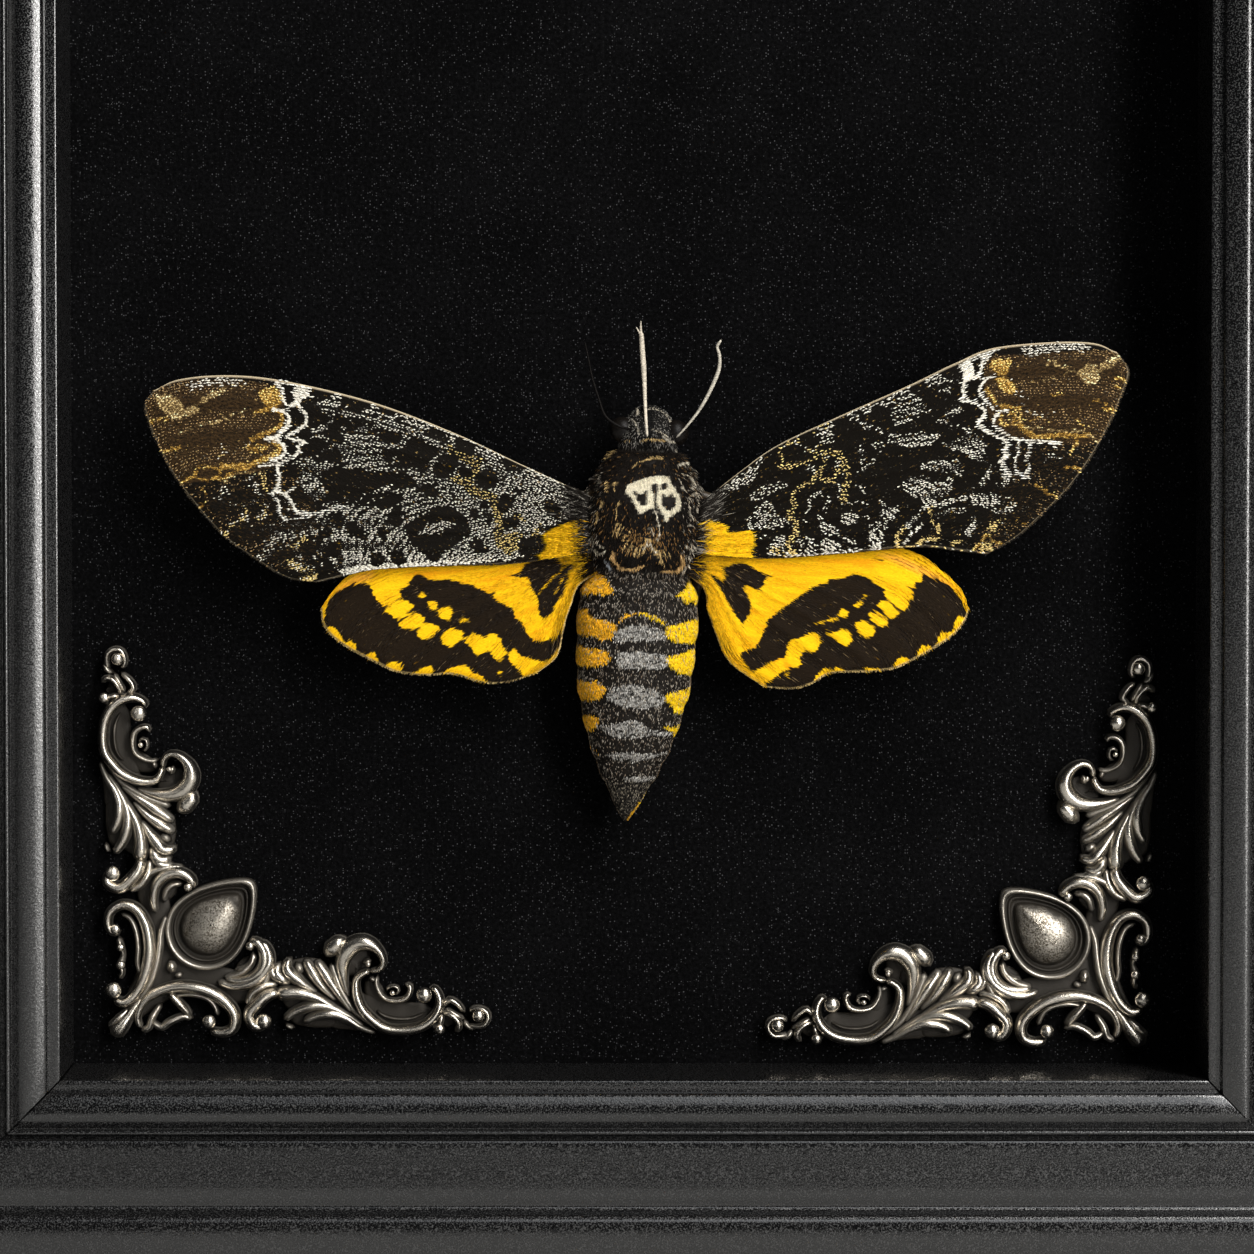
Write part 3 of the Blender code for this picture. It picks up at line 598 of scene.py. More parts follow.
@dataclass
class ShadowBox:
    """The moulded box: four fine rails, the velvet pad and the backing board."""

    layout: Layout
    width: float = 22.0
    rebate: float = 6.0
    chamfer: float = 0.13
    # Half the gap of a mitre, the cuts along a rail, and the angle that stays a sharp edge.
    mitre: float = 0.12
    cuts: int = 39
    crease: float = 38.0
    # The face from the sight edge outwards: outward, behind the front plane.
    face: str = """
    0,4.9 .05,4.4 .1,4.22 .34,4.14 1.2,4.12 1.32,4 1.4,3.3 1.6,2.96 1.95,2.82 2.25,2.72 2.55,2.63
    2.85,2.56 3.2,2.5 3.6,2.46 4,2.48 4.35,2.6 4.7,2.84 5.1,3.08 5.3,3.16 5.4,2.72 5.54,2.52
    5.76,2.45 5.92,2.58 6.05,3 6.25,3.15 6.42,3.05 6.5,2.15 6.7,1.94 7.3,1.87 8.6,1.79 10.6,1.66
    12.4,1.55 13.1,1.66 13.6,1.8 14,1.7 14.3,1.35 14.5,.8 14.75,.45 15.4,.16 17.6,.03 19.8,.4
    21.2,1.1 21.85,1.9 22,3
    """

    def __post_init__(self) -> None:
        """Work out the closed section: rows of (outward, world y) in metres."""
        lay = self.layout
        fine = smooth_path(drawn(self.face), 2) * MM
        back = [(self.width * MM, lay.back), (self.rebate * MM, lay.back),
                (self.rebate * MM, lay.velvet), (0.0, lay.velvet)]
        self.section = np.vstack([np.stack([fine[:, 0], lay.front + fine[:, 1]], 1), back])

    def rail(self, name: str, material: bpy.types.Material) -> None:
        """One mitred rail between the corners of its CAD node.

        Args:
            name: the CAD node it stands for.
            material: the lacquer.
        """
        lay, section = self.layout, self.section
        upright = name in ("frame_left", "frame_right")
        low, high = (lay.rail, lay.top) if upright else (lay.left, lay.right)
        small = section + (section.mean(0) - section) * (self.chamfer / self.width * 1.2)
        ends = [(shape, (self.mitre + more) * MM - shape[:, 0])
                for shape, more in ((small, 0.0), (section, self.chamfer))]
        near = [(low + reach, shape) for shape, reach in ends]
        far = [(high - reach, shape) for shape, reach in ends[::-1]]
        parts = np.linspace(0, 1, self.cuts + 2)[1:-1]
        between = [(near[1][0] * (1 - part) + far[0][0] * part, section) for part in parts]
        rings = [self.laid(name, along, *shape.T) for along, shape in (*near, *between, *far)]
        count = len(section)
        worn = [np.full(count, 1.0), np.full(count, 0.8)]
        edges = worn + [self.rubbed()] * len(parts) + worn[::-1]
        obj = make_mesh(name.replace("frame", "moulding"), np.vstack(rings),
                        grid_faces(len(rings), count, wrap=True), material)

        def close(bm: bmesh.types.BMesh) -> None:
            """Fill both ends."""
            bm.verts.ensure_lookup_table()
            for first in (0, (len(rings) - 1) * count):
                bm.faces.new([bm.verts[first + i] for i in range(count)])

        rework(obj, close)
        obj.data.shade_smooth()
        obj.data.set_sharp_from_angle(angle=math.radians(self.crease))
        set_values(obj, "edge", np.concatenate(edges))
        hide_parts(name)
        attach(obj, "root")
        log.info("rail %s", obj.name)

    def laid(self, name: str, along: Array, out: Array, y: Array) -> Array:
        """Section points turned to lie in one rail.

        Args:
            name: the rail's CAD node.
            along: places along the rail.
            out: distances out from the sight edge.
            y: world y of the points.
        Returns:
            Rows of x, y, z.
        """
        lay = self.layout
        return np.stack({
            "frame_bottom": (along, y, lay.rail - out), "frame_top": (along, y, lay.top + out),
            "frame_left": (lay.left - out, y, along), "frame_right": (lay.right + out, y, along),
        }[name], 1)

    def rubbed(self) -> Array:
        """How rubbed each line of the section is: most on the crests near steps."""
        y = np.pad(self.section[:, 1], 1, mode="edge")
        return np.clip(np.abs(np.convolve(y, (1, -2, 1), "valid")) / (0.25 * MM), 0, 1) * 0.6

    def build(self, frame: dict) -> None:
        """Build the rails and dress the pad and the board.
        """
        lacquer = SatinBlack().build()
        for name in ("frame_bottom", "frame_top", "frame_left", "frame_right"):
            self.rail(name, lacquer)
        for name, finish in (("velvet_pad", Velvet()), ("backing_board", BlackCard())):
            materials = frame["nodes"][name].data.materials
            materials.clear()
            materials.append(finish.build())


@dataclass
class Lint:
    """Loose pale fibres on the velvet, each a thin curved sliver of three rings."""

    layout: Layout
    count: int = 5200
    seed: int = 11
    # Height over the velvet, then the smallest and the largest length and half width.
    height: float = 0.27
    lengths: Pair = (0.06, 0.7)
    widths: Pair = (0.008, 0.017)

    def build(self) -> None:
        """Scatter the fibres."""
        rng = np.random.default_rng(self.seed)
        n, lay = self.count, self.layout
        x = rng.uniform(lay.left + 1 * MM, lay.right - 1 * MM, n)
        z = rng.uniform(lay.rail + 1 * MM, lay.top - 1 * MM, n)
        centre = np.stack([x, np.full(n, lay.velvet + self.height * MM), z], 1)
        angle = rng.uniform(0, np.pi, n)
        length = rng.gamma(2.0, 0.09, n).clip(*self.lengths)[:, None] * MM
        along = np.stack([np.cos(angle), rng.uniform(-0.6, -0.05, n), np.sin(angle)], 1)
        across = np.stack([-np.sin(angle), np.zeros(n), np.cos(angle)], 1)
        thick = rng.uniform(*self.widths, n)[:, None] * MM
        out = np.array([0.0, -1.0, 0.0])
        bend = across * (rng.normal(0, 0.25, n)[:, None] * length)
        spine = (centre - along * length / 2, centre + bend * 0.6 + out * thick * 2,
                 centre + along * length / 2)
        corners = [middle + (across * math.cos(a) + out * math.sin(a)) * thick * part
                   for middle, part in zip(spine, (0.5, 1.0, 0.35))
                   for a in (2 * math.pi * turn / 3 for turn in range(3))]
        quads = (grid_faces(3, 3, wrap=True) + 9 * np.arange(n)[:, None, None]).reshape(-1, 4)
        material, graph, shader = start_material("Pale lint")
        grain = FineGrain().place(graph, graph.place(), 3000.0, 800.0)
        graph.feed(shader, {
            "Base Color": graph.mix(graph.span(grain["Cloud"], 0.42, 0.68), (0.03, 0.03, 0.031),
                                    (0.24, 0.24, 0.245)), "Roughness": 0.7})
        obj = make_mesh("velvet_lint", np.stack(corners, 1).reshape(-1, 3), quads, material)
        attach(obj, "root")


@dataclass(frozen=True)
class Sheet:
    """A drawing sheet: where its corner lies, in mm, and how large one of its units is."""

    left: float
    top: float
    unit: float

    def points(self, given: object) -> Array:
        """Drawn points (right, down) as millimetres (right, up)."""
        places = drawn(given) if isinstance(given, str) else np.asarray(given, float)
        return np.array([self.left, self.top]) + places * np.array([self.unit, -self.unit])


# Strokes of the upright arm and of the corner: widths in mm, heights in mm, points. Webs
# have no heights. Beads are places, radii and heights.
ARM = """
0.5 0.6 0.65 0.6 0.5 | 1.8 2.4 2.4 2 | 107,105 102,68 107,42 131,26 157,31 170,58 168,84 152,97
0.35 0.6 0.5 | 1.6 2 1.8 | 86,73 105,105 131,118
0.5 0.5 0.5 | 2 2.3 2 | 126,113 157,162 170,191
0.5 0.62 0.66 0.5 | 2 2.4 2.4 2 | 152,113 183,136 203,168 186,190 170,195
0.5 0.66 0.72 0.6 | 2 2.6 2.6 2 | 157,202 148,168 126,140 99,134 80,152
0.5 0.6 0.6 0.5 | 1.8 2.2 2.4 2 | 102,241 99,216 119,203 157,197
0.7 0.95 1.05 1.05 1.05 1.1 1.1 1 0.8 0.6 | 2.6 3.2 3.4 3.4 3.4 3.2 2.8 | 246,246 242,223 209,207 173,209
  136,230 107,267 93,314 90,367 99,414 125,453 162,490 209,512 251,519 285,513 306,484 310,461
0.25 0.35 0.35 0.25 | 1.1 1.4 1.4 1.1 | 152,262 132,309 129,367 140,414 162,445
0.6 0.6 0.55 0.5 0.5 | 2.2 2.4 2.4 2 1.8 | 259,338 254,317 225,320 204,340 199,377 209,414 236,435
  267,444 294,439
0.45 0.5 0.35 | 1.9 1.9 1.6 | 271,445 279,458 285,474
0.3 0.35 0.35 0.3 | 1.8 2.2 2.2 1.8 | 220,382 230,361 251,367 250,398 230,406
0.4 0.92 1.38 1.84 1.72 1.03 0.69 0.52 | 1.8 2.6 3.2 3.4 3 2.4 | 209,545 272,564 335,570 382,555 411,524
  418,487 406,453 377,425 343,416 318,432 309,471
0.8 0.5 | 2.4 1.8 | 350,461 338,497
0.58 1.59 1.74 0.87 | 2 2.8 2.8 2 | 425,545 419,579 390,613 361,634
0.87 0.72 0.65 0.51 | 1.8 2 1.8 1.5 | 340,613 293,597 230,571 157,524 105,461
0.51 0.72 1.16 1.16 0.72 | 1.6 2.2 2.6 2.2 | 76,445 99,503 131,555 148,607 141,670 115,717
0.51 0.72 1.09 1.16 0.72 | 1.6 2.2 2.6 2.2 | 99,487 141,550 173,618 179,681 160,744 126,791
0.51 0.87 1.3 1.59 | 1.6 2.4 2.8 2.8 | 141,555 183,618 215,681 228,749 223,821
0.43 0.8 1.16 0.87 | 1.6 2.4 2.6 2 | 152,534 220,581 283,623 335,660 348,676
0.43 0.8 1.16 0.87 | 1.6 2.4 2.6 2 | 196,592 251,644 304,681 357,712
0.58 0.87 0.58 | 1.6 2 1.6 | 293,723 317,730 343,746
0.43 0.87 1.3 1.16 0.72 | 1.6 2.4 2.8 2.2 | 225,660 267,723 309,772 340,775 359,759
0.58 1.16 1.16 0.72 | 1.8 2.6 2.4 2 | 262,759 283,801 309,817 343,801
0.4 0.5 0.4 | 1.6 1.8 1.6 | 94,749 102,775 113,785
0.9 1.2 1.3 1.3 1 | 2.8 3.2 3.4 3 | 112,852 104,896 150,917 196,880 222,845 232,800
0.7 0.9 0.9 0.6 | 2.2 2.6 2 | 178,926 226,906 256,860 262,808
0.6 0.9 0.9 0.6 | 2 2.4 2 | 268,790 284,818 312,834 352,830
0.6 0.9 1 1.2 1.2 1.1 0.9 | 2.2 2.6 3 3 2.6 | 284,1012 274,960 286,905 322,868 372,860 415,884 424,920
0.5 0.7 0.7 0.5 | 1.8 2.4 2 | 312,975 322,930 347,906 385,902
0.6 0.8 0.8 0.6 | 2 2.4 2 | 228,902 268,860 328,842 388,842
"""
ARM_WEBS = """
1.8 2.6 2.9 2.6 1.8 | 160,235 138,300 138,370 165,440 220,490
1.4 1.8 1 | 190,410 225,450 290,470
1.6 4.4 5.2 3.6 | 104,440 170,560 220,680 210,800
2.6 3.6 2.6 | 330,470 350,530 300,580
2.4 2.8 2.4 | 300,620 300,720 280,800
1.4 2 2 | 120,590 135,690 150,770
2 3.4 3.6 | 190,900 270,900 360,930
1.4 1.6 1.2 | 98,180 150,176 180,175
"""
CORNER = """
0.6 0.9 1 1.1 1.25 1.3 1.3 1.2 1.1 0.9 | 2.4 2.8 3 3 2.8 | 152,1080 122,1086 104,1052 114,1006 160,980
  210,996 245,1050 259,1120 256,1190 236,1260 205,1315 165,1346 122,1334
0.4 0.6 0.6 0.6 0.5 | 1.7 2.2 2.2 1.8 | 150,1016 186,1032 209,1080 217,1140 214,1200 228,1252
0.5 0.7 0.5 0.8 0.5 0.6 | 1.8 2.4 1.8 2.4 1.8 | 142,1100 152,1140 160,1168 150,1206 158,1236 142,1262
1.7 1.5 1.2 0.9 0.6 | 2.6 2.8 2.4 2 | 112,1468 148,1440 180,1400 206,1360 238,1328
0.6 0.8 0.5 | 2 2.4 1.8 | 142,1480 168,1440 196,1396
0.6 0.8 0.5 | 2 2.4 1.8 | 102,1440 140,1408 186,1366
0.6 0.7 0.8 0.8 0.7 0.5 | 1.8 2.2 2.2 1.8 | 212,1350 252,1288 282,1216 296,1140 302,1080 322,1020
0.8 1 0.6 | 2 2.4 1.8 | 332,1240 342,1214 332,1186
0.6 0.6 | 1.8 1.8 | 350,1250 384,1240
0.6 0.8 1 1.15 1.3 1.3 1.3 1.2 1.1 0.8 | 2.2 2.8 3 3 2.6 | 226,1446 214,1400 240,1340 300,1302 380,1286
  470,1302 540,1342 576,1392 570,1442 528,1460 482,1450
0.4 0.6 0.6 0.5 | 1.7 2.2 2.2 1.8 | 332,1330 400,1316 470,1330 502,1362 514,1400
0.7 0.9 0.9 0.6 | 2.4 2.6 2 | 330,1306 360,1340 394,1376 412,1404
0.5 0.8 0.8 0.6 | 1.8 2.4 2 | 262,1416 300,1442 332,1420 380,1400 420,1408
0.6 0.8 0.7 0.5 | 2 2.4 1.8 | 224,1456 256,1440 270,1400 302,1352
0.6 0.9 1.1 1.2 1.3 1.2 0.9 | 2.2 2.8 3 2.6 | 512,1268 570,1285 630,1275 680,1240 706,1190 694,1140
  664,1120
0.5 0.8 0.8 0.5 | 1.8 2.4 2 | 534,1254 590,1240 636,1205 656,1160
"""
CORNER_WEBS = """
1.6 3.4 6 7.5 | 160,1420 240,1320 330,1220 440,1120
2.4 2.6 2.8 2.4 | 290,1180 285,1050 270,960 230,900
2.6 3 3 2.6 | 330,1262 450,1262 570,1290 650,1320
3 3.4 3 | 600,1200 640,1230 690,1270
"""
ARM_BEADS = (
    (144, 62, 0.72, 2.9), (93, 207, 0.62, 2.6), (223, 264, 0.92, 3.6), (229, 383, 0.3, 2.4),
    (335, 474, 0.3, 2.2), (124, 862, 0.9, 3.4), (404, 914, 0.5, 2.6),
)
CORNER_BEADS = (
    (126, 1298, 0.95, 3.4), (132, 1072, 0.6, 2.8), (482, 1416, 0.8, 3.2), (152, 1140, 0.45, 2.6),
    (152, 1206, 0.55, 2.6),
)


@dataclass
class CornerOrnament:
    """One cast corner in fine relief: two arms that mirror each other, and a domed drop."""

    layout: Layout
    side: Side
    sheet: Sheet = Sheet(0.644, 48.43, 0.03027)
    # The lying arm is the upright one turned over the diagonal and moved by this.
    turn_shift: Pair = (-0.9, 1.2)
    corner_shift: dict[Side, Pair] = field(
        default_factory=lambda: {Side.LEFT: (0.25, -0.6), Side.RIGHT: (1.6, -1.7)})
    spacing: float = 0.34
    bold: float = 1.22
    turns: int = 11
    web_height: float = 0.55
    # How far a stroke's sides turn in below, in degrees, and the share of the drawn
    # heights that the cast keeps.
    undercut: float = 18.0
    flatten: float = 0.92
    jewel_centre: Pair = (14.8, 15.85)
    jewel_point: Pair = (20.1, 21.25)
    jewel_around: int = 96
    ring_radius: float = 4.49
    dome_rise: float = 2.6
    # Ring and moat from outside in: share of the ring's outline, height.
    ring: str = """
    1.03,-.3 1.03,.9 1.015,1.55 .98,1.95 .945,2 .91,1.75 .89,1.2 .875,.75 .85,.7 .835,.95 .81,1.1
    .785,.95 .77,.6 .73,.5 .7,.5
    """

    def __post_init__(self) -> None:
        """Start the lists that the casting is gathered in."""
        self.points, self.quads, self.relief = [], [], []

    def turned(self, points: Array) -> Array:
        """Points of the upright arm moved to the lying arm."""
        return points[:, ::-1] + np.array(self.turn_shift)

    def gather(self, points: Array, quads: Array, heights: Array) -> None:
        """Add one closed shape to the casting.

        Args:
            points: rows of (right, height, up) in mm on the ornament's own plane.
            quads: rows of point numbers of this shape alone.
            heights: height of each point, which sets the blackening of hollows and the painted shade at
                the dome's rim.
        """
        self.quads.append(quads + sum(len(shape) for shape in self.points))
        self.points.append(points)
        self.relief.append(heights)

    def stroke(self, given: Array, widths: list[float], heights: list[float]) -> None:
        """Sweep a half-round line of relief along a path.

        Args:
            given: the path's few points in mm.
            widths: widths along it.
            heights: heights along it.
        """
        path = smooth_path(given, 12)
        length = np.linalg.norm(np.diff(path, axis=0), axis=1).sum()
        count = max(5, int(length / self.spacing))
        path = spaced(path, count)
        along = np.gradient(path, axis=0)
        along /= np.linalg.norm(along, axis=1)[:, None] + 1e-9
        across = np.stack([-along[:, 1], along[:, 0]], 1)
        half = spread(widths, count) * self.bold / 2
        reach = np.minimum(np.arange(count), np.arange(count)[::-1]) * length / (count - 1)
        cap = np.sqrt(np.clip(1 - (1 - np.clip(reach / half, 0, 1)) ** 2, 0.03, 1))
        angle = np.linspace(math.radians(-self.undercut), math.radians(180 + self.undercut),
                            self.turns)
        side = np.cos(angle) * (1 + 0.04 * np.sin(3 * angle))
        top = np.clip(np.sin(angle), 0, 1) ** 0.8
        flat = path[:, None] + across[:, None] * (half * cap)[:, None, None] * side[None, :, None]
        crest = ((spread(heights, count) * (0.35 + 0.65 * cap))[:, None]
                 * (0.28 + 0.72 * top[None]))
        crest[:, [0, -1]] = 0.0
        points = np.stack([flat[..., 0], crest, flat[..., 1]], -1).reshape(-1, 3)
        last = self.turns - 1
        caps = [[first + i, first + i + 1, first + last - 1 - i, first + last - i]
                for first in (0, (count - 1) * self.turns) for i in range(last // 2 - 1)]
        quads = np.vstack([grid_faces(count, self.turns, wrap=True), caps])
        self.gather(points, quads, crest.ravel())

    def bead(self, middle: Array, radius: float, top: float) -> None:
        """Add a rounded bead.

        Args:
            middle: its place in mm.
            radius: its radius in mm.
            top: how high its crown stands, in mm.
        """
        rows, sides = 9, 16
        shape = ball(rows, sides, 0.02)
        y = top - radius * 0.9 * (1 - shape[:, 2])
        flat = middle + radius * shape[:, :2]
        self.gather(np.stack([flat[:, 0], y, flat[:, 1]], -1), grid_faces(rows, sides, wrap=True),
                    y)

    def jewel(self) -> None:
        """Add the ring, the moat and the grainy dome: drops drawn to a point at one end."""
        around = self.jewel_around
        centre, tip = np.array(self.jewel_centre), np.array(self.jewel_point)
        reach = np.linalg.norm(tip - centre)
        forward = (tip - centre) / reach
        angle = 2 * math.pi * np.arange(around) / around
        c = np.cos(angle)
        length = np.where(c < 0, self.ring_radius * c, reach * c)
        wide = self.ring_radius * np.sin(angle) * (1 - 0.44 * np.clip(c, 0, 1) ** 1.8)
        outline = (centre + np.outer(length, forward)
                   + np.outer(wide, np.array([-forward[1], forward[0]])))
        dome = [(f, 0.7 + (self.dome_rise - 0.7) * math.sqrt(max(1 - (f / 0.69) ** 2, 0)))
                for f in np.linspace(0.68, 0.02, 28)]
        ring = drawn(self.ring)
        middle = centre + 0.12 * (tip - centre)
        rings, heights = [], []
        for part, height in (*ring, *dome):
            flat = middle + (outline - middle) * part
            rings.append(np.stack([flat[:, 0], np.full(around, height), flat[:, 1]], 1))
            # The dome's relief is halved, so its silver goes black toward the rim: painted shade on the
            # dome's sides, with patina.
            heights.append(np.full(around, height if part > 0.72 else 0.5 * height))
        self.grainy_from = sum(len(quads) for quads in self.quads) + len(ring) * around
        self.gather(np.vstack(rings), grid_faces(len(rings), around, wrap=True),
                    np.concatenate(heights))

    def cast(self) -> None:
        """Gather the webs, the strokes, the beads and the jewel."""
        sheet = self.sheet
        for table, turn in ((ARM_WEBS, False), (CORNER_WEBS, False), (ARM_WEBS, True)):
            for widths, path in fields(table):
                points = sheet.points(path)
                self.stroke(self.turned(points) if turn else points, numbers(widths),
                            [self.web_height] * 2)
        for table in (ARM, CORNER):
            for widths, heights, path in fields(table):
                points = sheet.points(path)
                self.stroke(points, numbers(widths), numbers(heights))
                if table is ARM:
                    self.stroke(self.turned(points), numbers(widths), numbers(heights))
        for x, y, radius, top in ARM_BEADS + CORNER_BEADS:
            self.bead(sheet.points((x, y)), radius, top)
        for x, y, radius, top in ARM_BEADS:
            self.bead(self.turned(sheet.points((x, y))[None])[0], radius, top)
        self.jewel()

    def build(self) -> None:
        """Cast the ornament in its place."""
        self.cast()
        lay, sign, shift = self.layout, -self.side.value, self.corner_shift[self.side]
        flat = np.vstack(self.points)
        world = np.stack([sign * (flat[:, 0] * MM + shift[0] * MM + lay.left),
                          lay.velvet - np.clip(flat[:, 1], 0.0, None) * self.flatten * MM,
                          flat[:, 2] * MM + lay.rail + shift[1] * MM], 1)
        quads = np.vstack(self.quads)[:, ::sign]
        obj = make_mesh("corner_" + self.side.word, world, quads, AntiqueSilver().build())
        # The dome's finish: its darker dull colour and low clean heights paint shade toward the dome's
        # rim.
        obj.data.materials.append(AntiqueSilver("Grainy silver", dull=(0.1, 0.084, 0.062),
                                                low=0.62, high=1.42, grainy=1.0).build())
        grainy = (np.arange(len(quads)) >= self.grainy_from).astype(np.int32)
        obj.data.polygons.foreach_set("material_index", grainy)
        set_values(obj, "relief", np.concatenate(self.relief))
        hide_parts("ornament_" + self.side.word)
        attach(obj, "root")
        log.info("ornament %s: %d quads", self.side.word, len(quads))


def segment_distance(points: Array, a: Array, b: Array) -> Array:
    """Distance from each point to the line between a and b."""
    along = b - a
    part = np.clip((points - a) @ along / max(along @ along, 1e-12), 0, 1)
    return np.linalg.norm(points - a - part[:, None] * along, axis=1)


def line_mask(points: Array, path: Array, width: float, soft: float) -> Array:
    """A soft stroke's mask.

    Args:
        points: rows of x, y.
        path: the stroke's few points.
        width: its width.
        soft: how far its edge fades.
    Returns:
        One value in 0 to 1 for each point.
    """
    fine = smooth_path(path, 5) if len(path) > 2 else path
    near = np.full(len(points), 1e9)
    for a, b in zip(fine, fine[1:]):
        near = np.minimum(near, segment_distance(points, a, b))
    return 1 - step(-soft, soft, near - width / 2)


def shape_mask(points: Array, path: Array, soft: float) -> Array:
    """A soft filled shape's mask, smooth through the drawn corners.

    Args:
        points: rows of x, y.
        path: the shape's drawn corners.
        soft: how far its edge fades.
    Returns:
        One value in 0 to 1 for each point.
    """
    ring = smooth_path(np.vstack([path, path[:1]]), 3)[:-1]
    near = np.full(len(points), 1e9)
    odd = np.zeros(len(points), bool)
    for a, b in zip(ring, np.roll(ring, -1, 0)):
        near = np.minimum(near, segment_distance(points, a, b))
        crosses = (a[1] > points[:, 1]) != (b[1] > points[:, 1])
        rise = b[1] - a[1] if abs(b[1] - a[1]) > 1e-9 else 1e-9
        odd ^= crosses & (points[:, 0] < (b[0] - a[0]) * (points[:, 1] - a[1]) / rise + a[0])
    return step(-soft, soft, np.where(odd, near, -near))


@dataclass(frozen=True)
class Marks:
    """Drawn marks of one sheet, by kind.

    A word starts a kind. Each row below it is one mark: its width in mm or 0 for a filled
    shape, its strength, and its points.
    """

    sheet: Sheet
    soft: float
    text: str

    def masks(self, points: Array) -> dict[str, Array]:
        """Evaluate every kind of mark.

        Args:
            points: rows of x, z in mm.
        Returns:
            Kind to one value for each point.
        """
        found = {}
        for line in lines(self.text):
            if line.isalpha():
                kind = line
                found[kind] = np.zeros(len(points))
                continue
            width, strength, drawing = line.split(" ", 2)
            path = self.sheet.points(drawing)
            one = (line_mask(points, path, float(width), self.soft) if float(width)
                   else shape_mask(points, path, self.soft))
            found[kind] = np.maximum(found[kind], float(strength) * one)
        return found


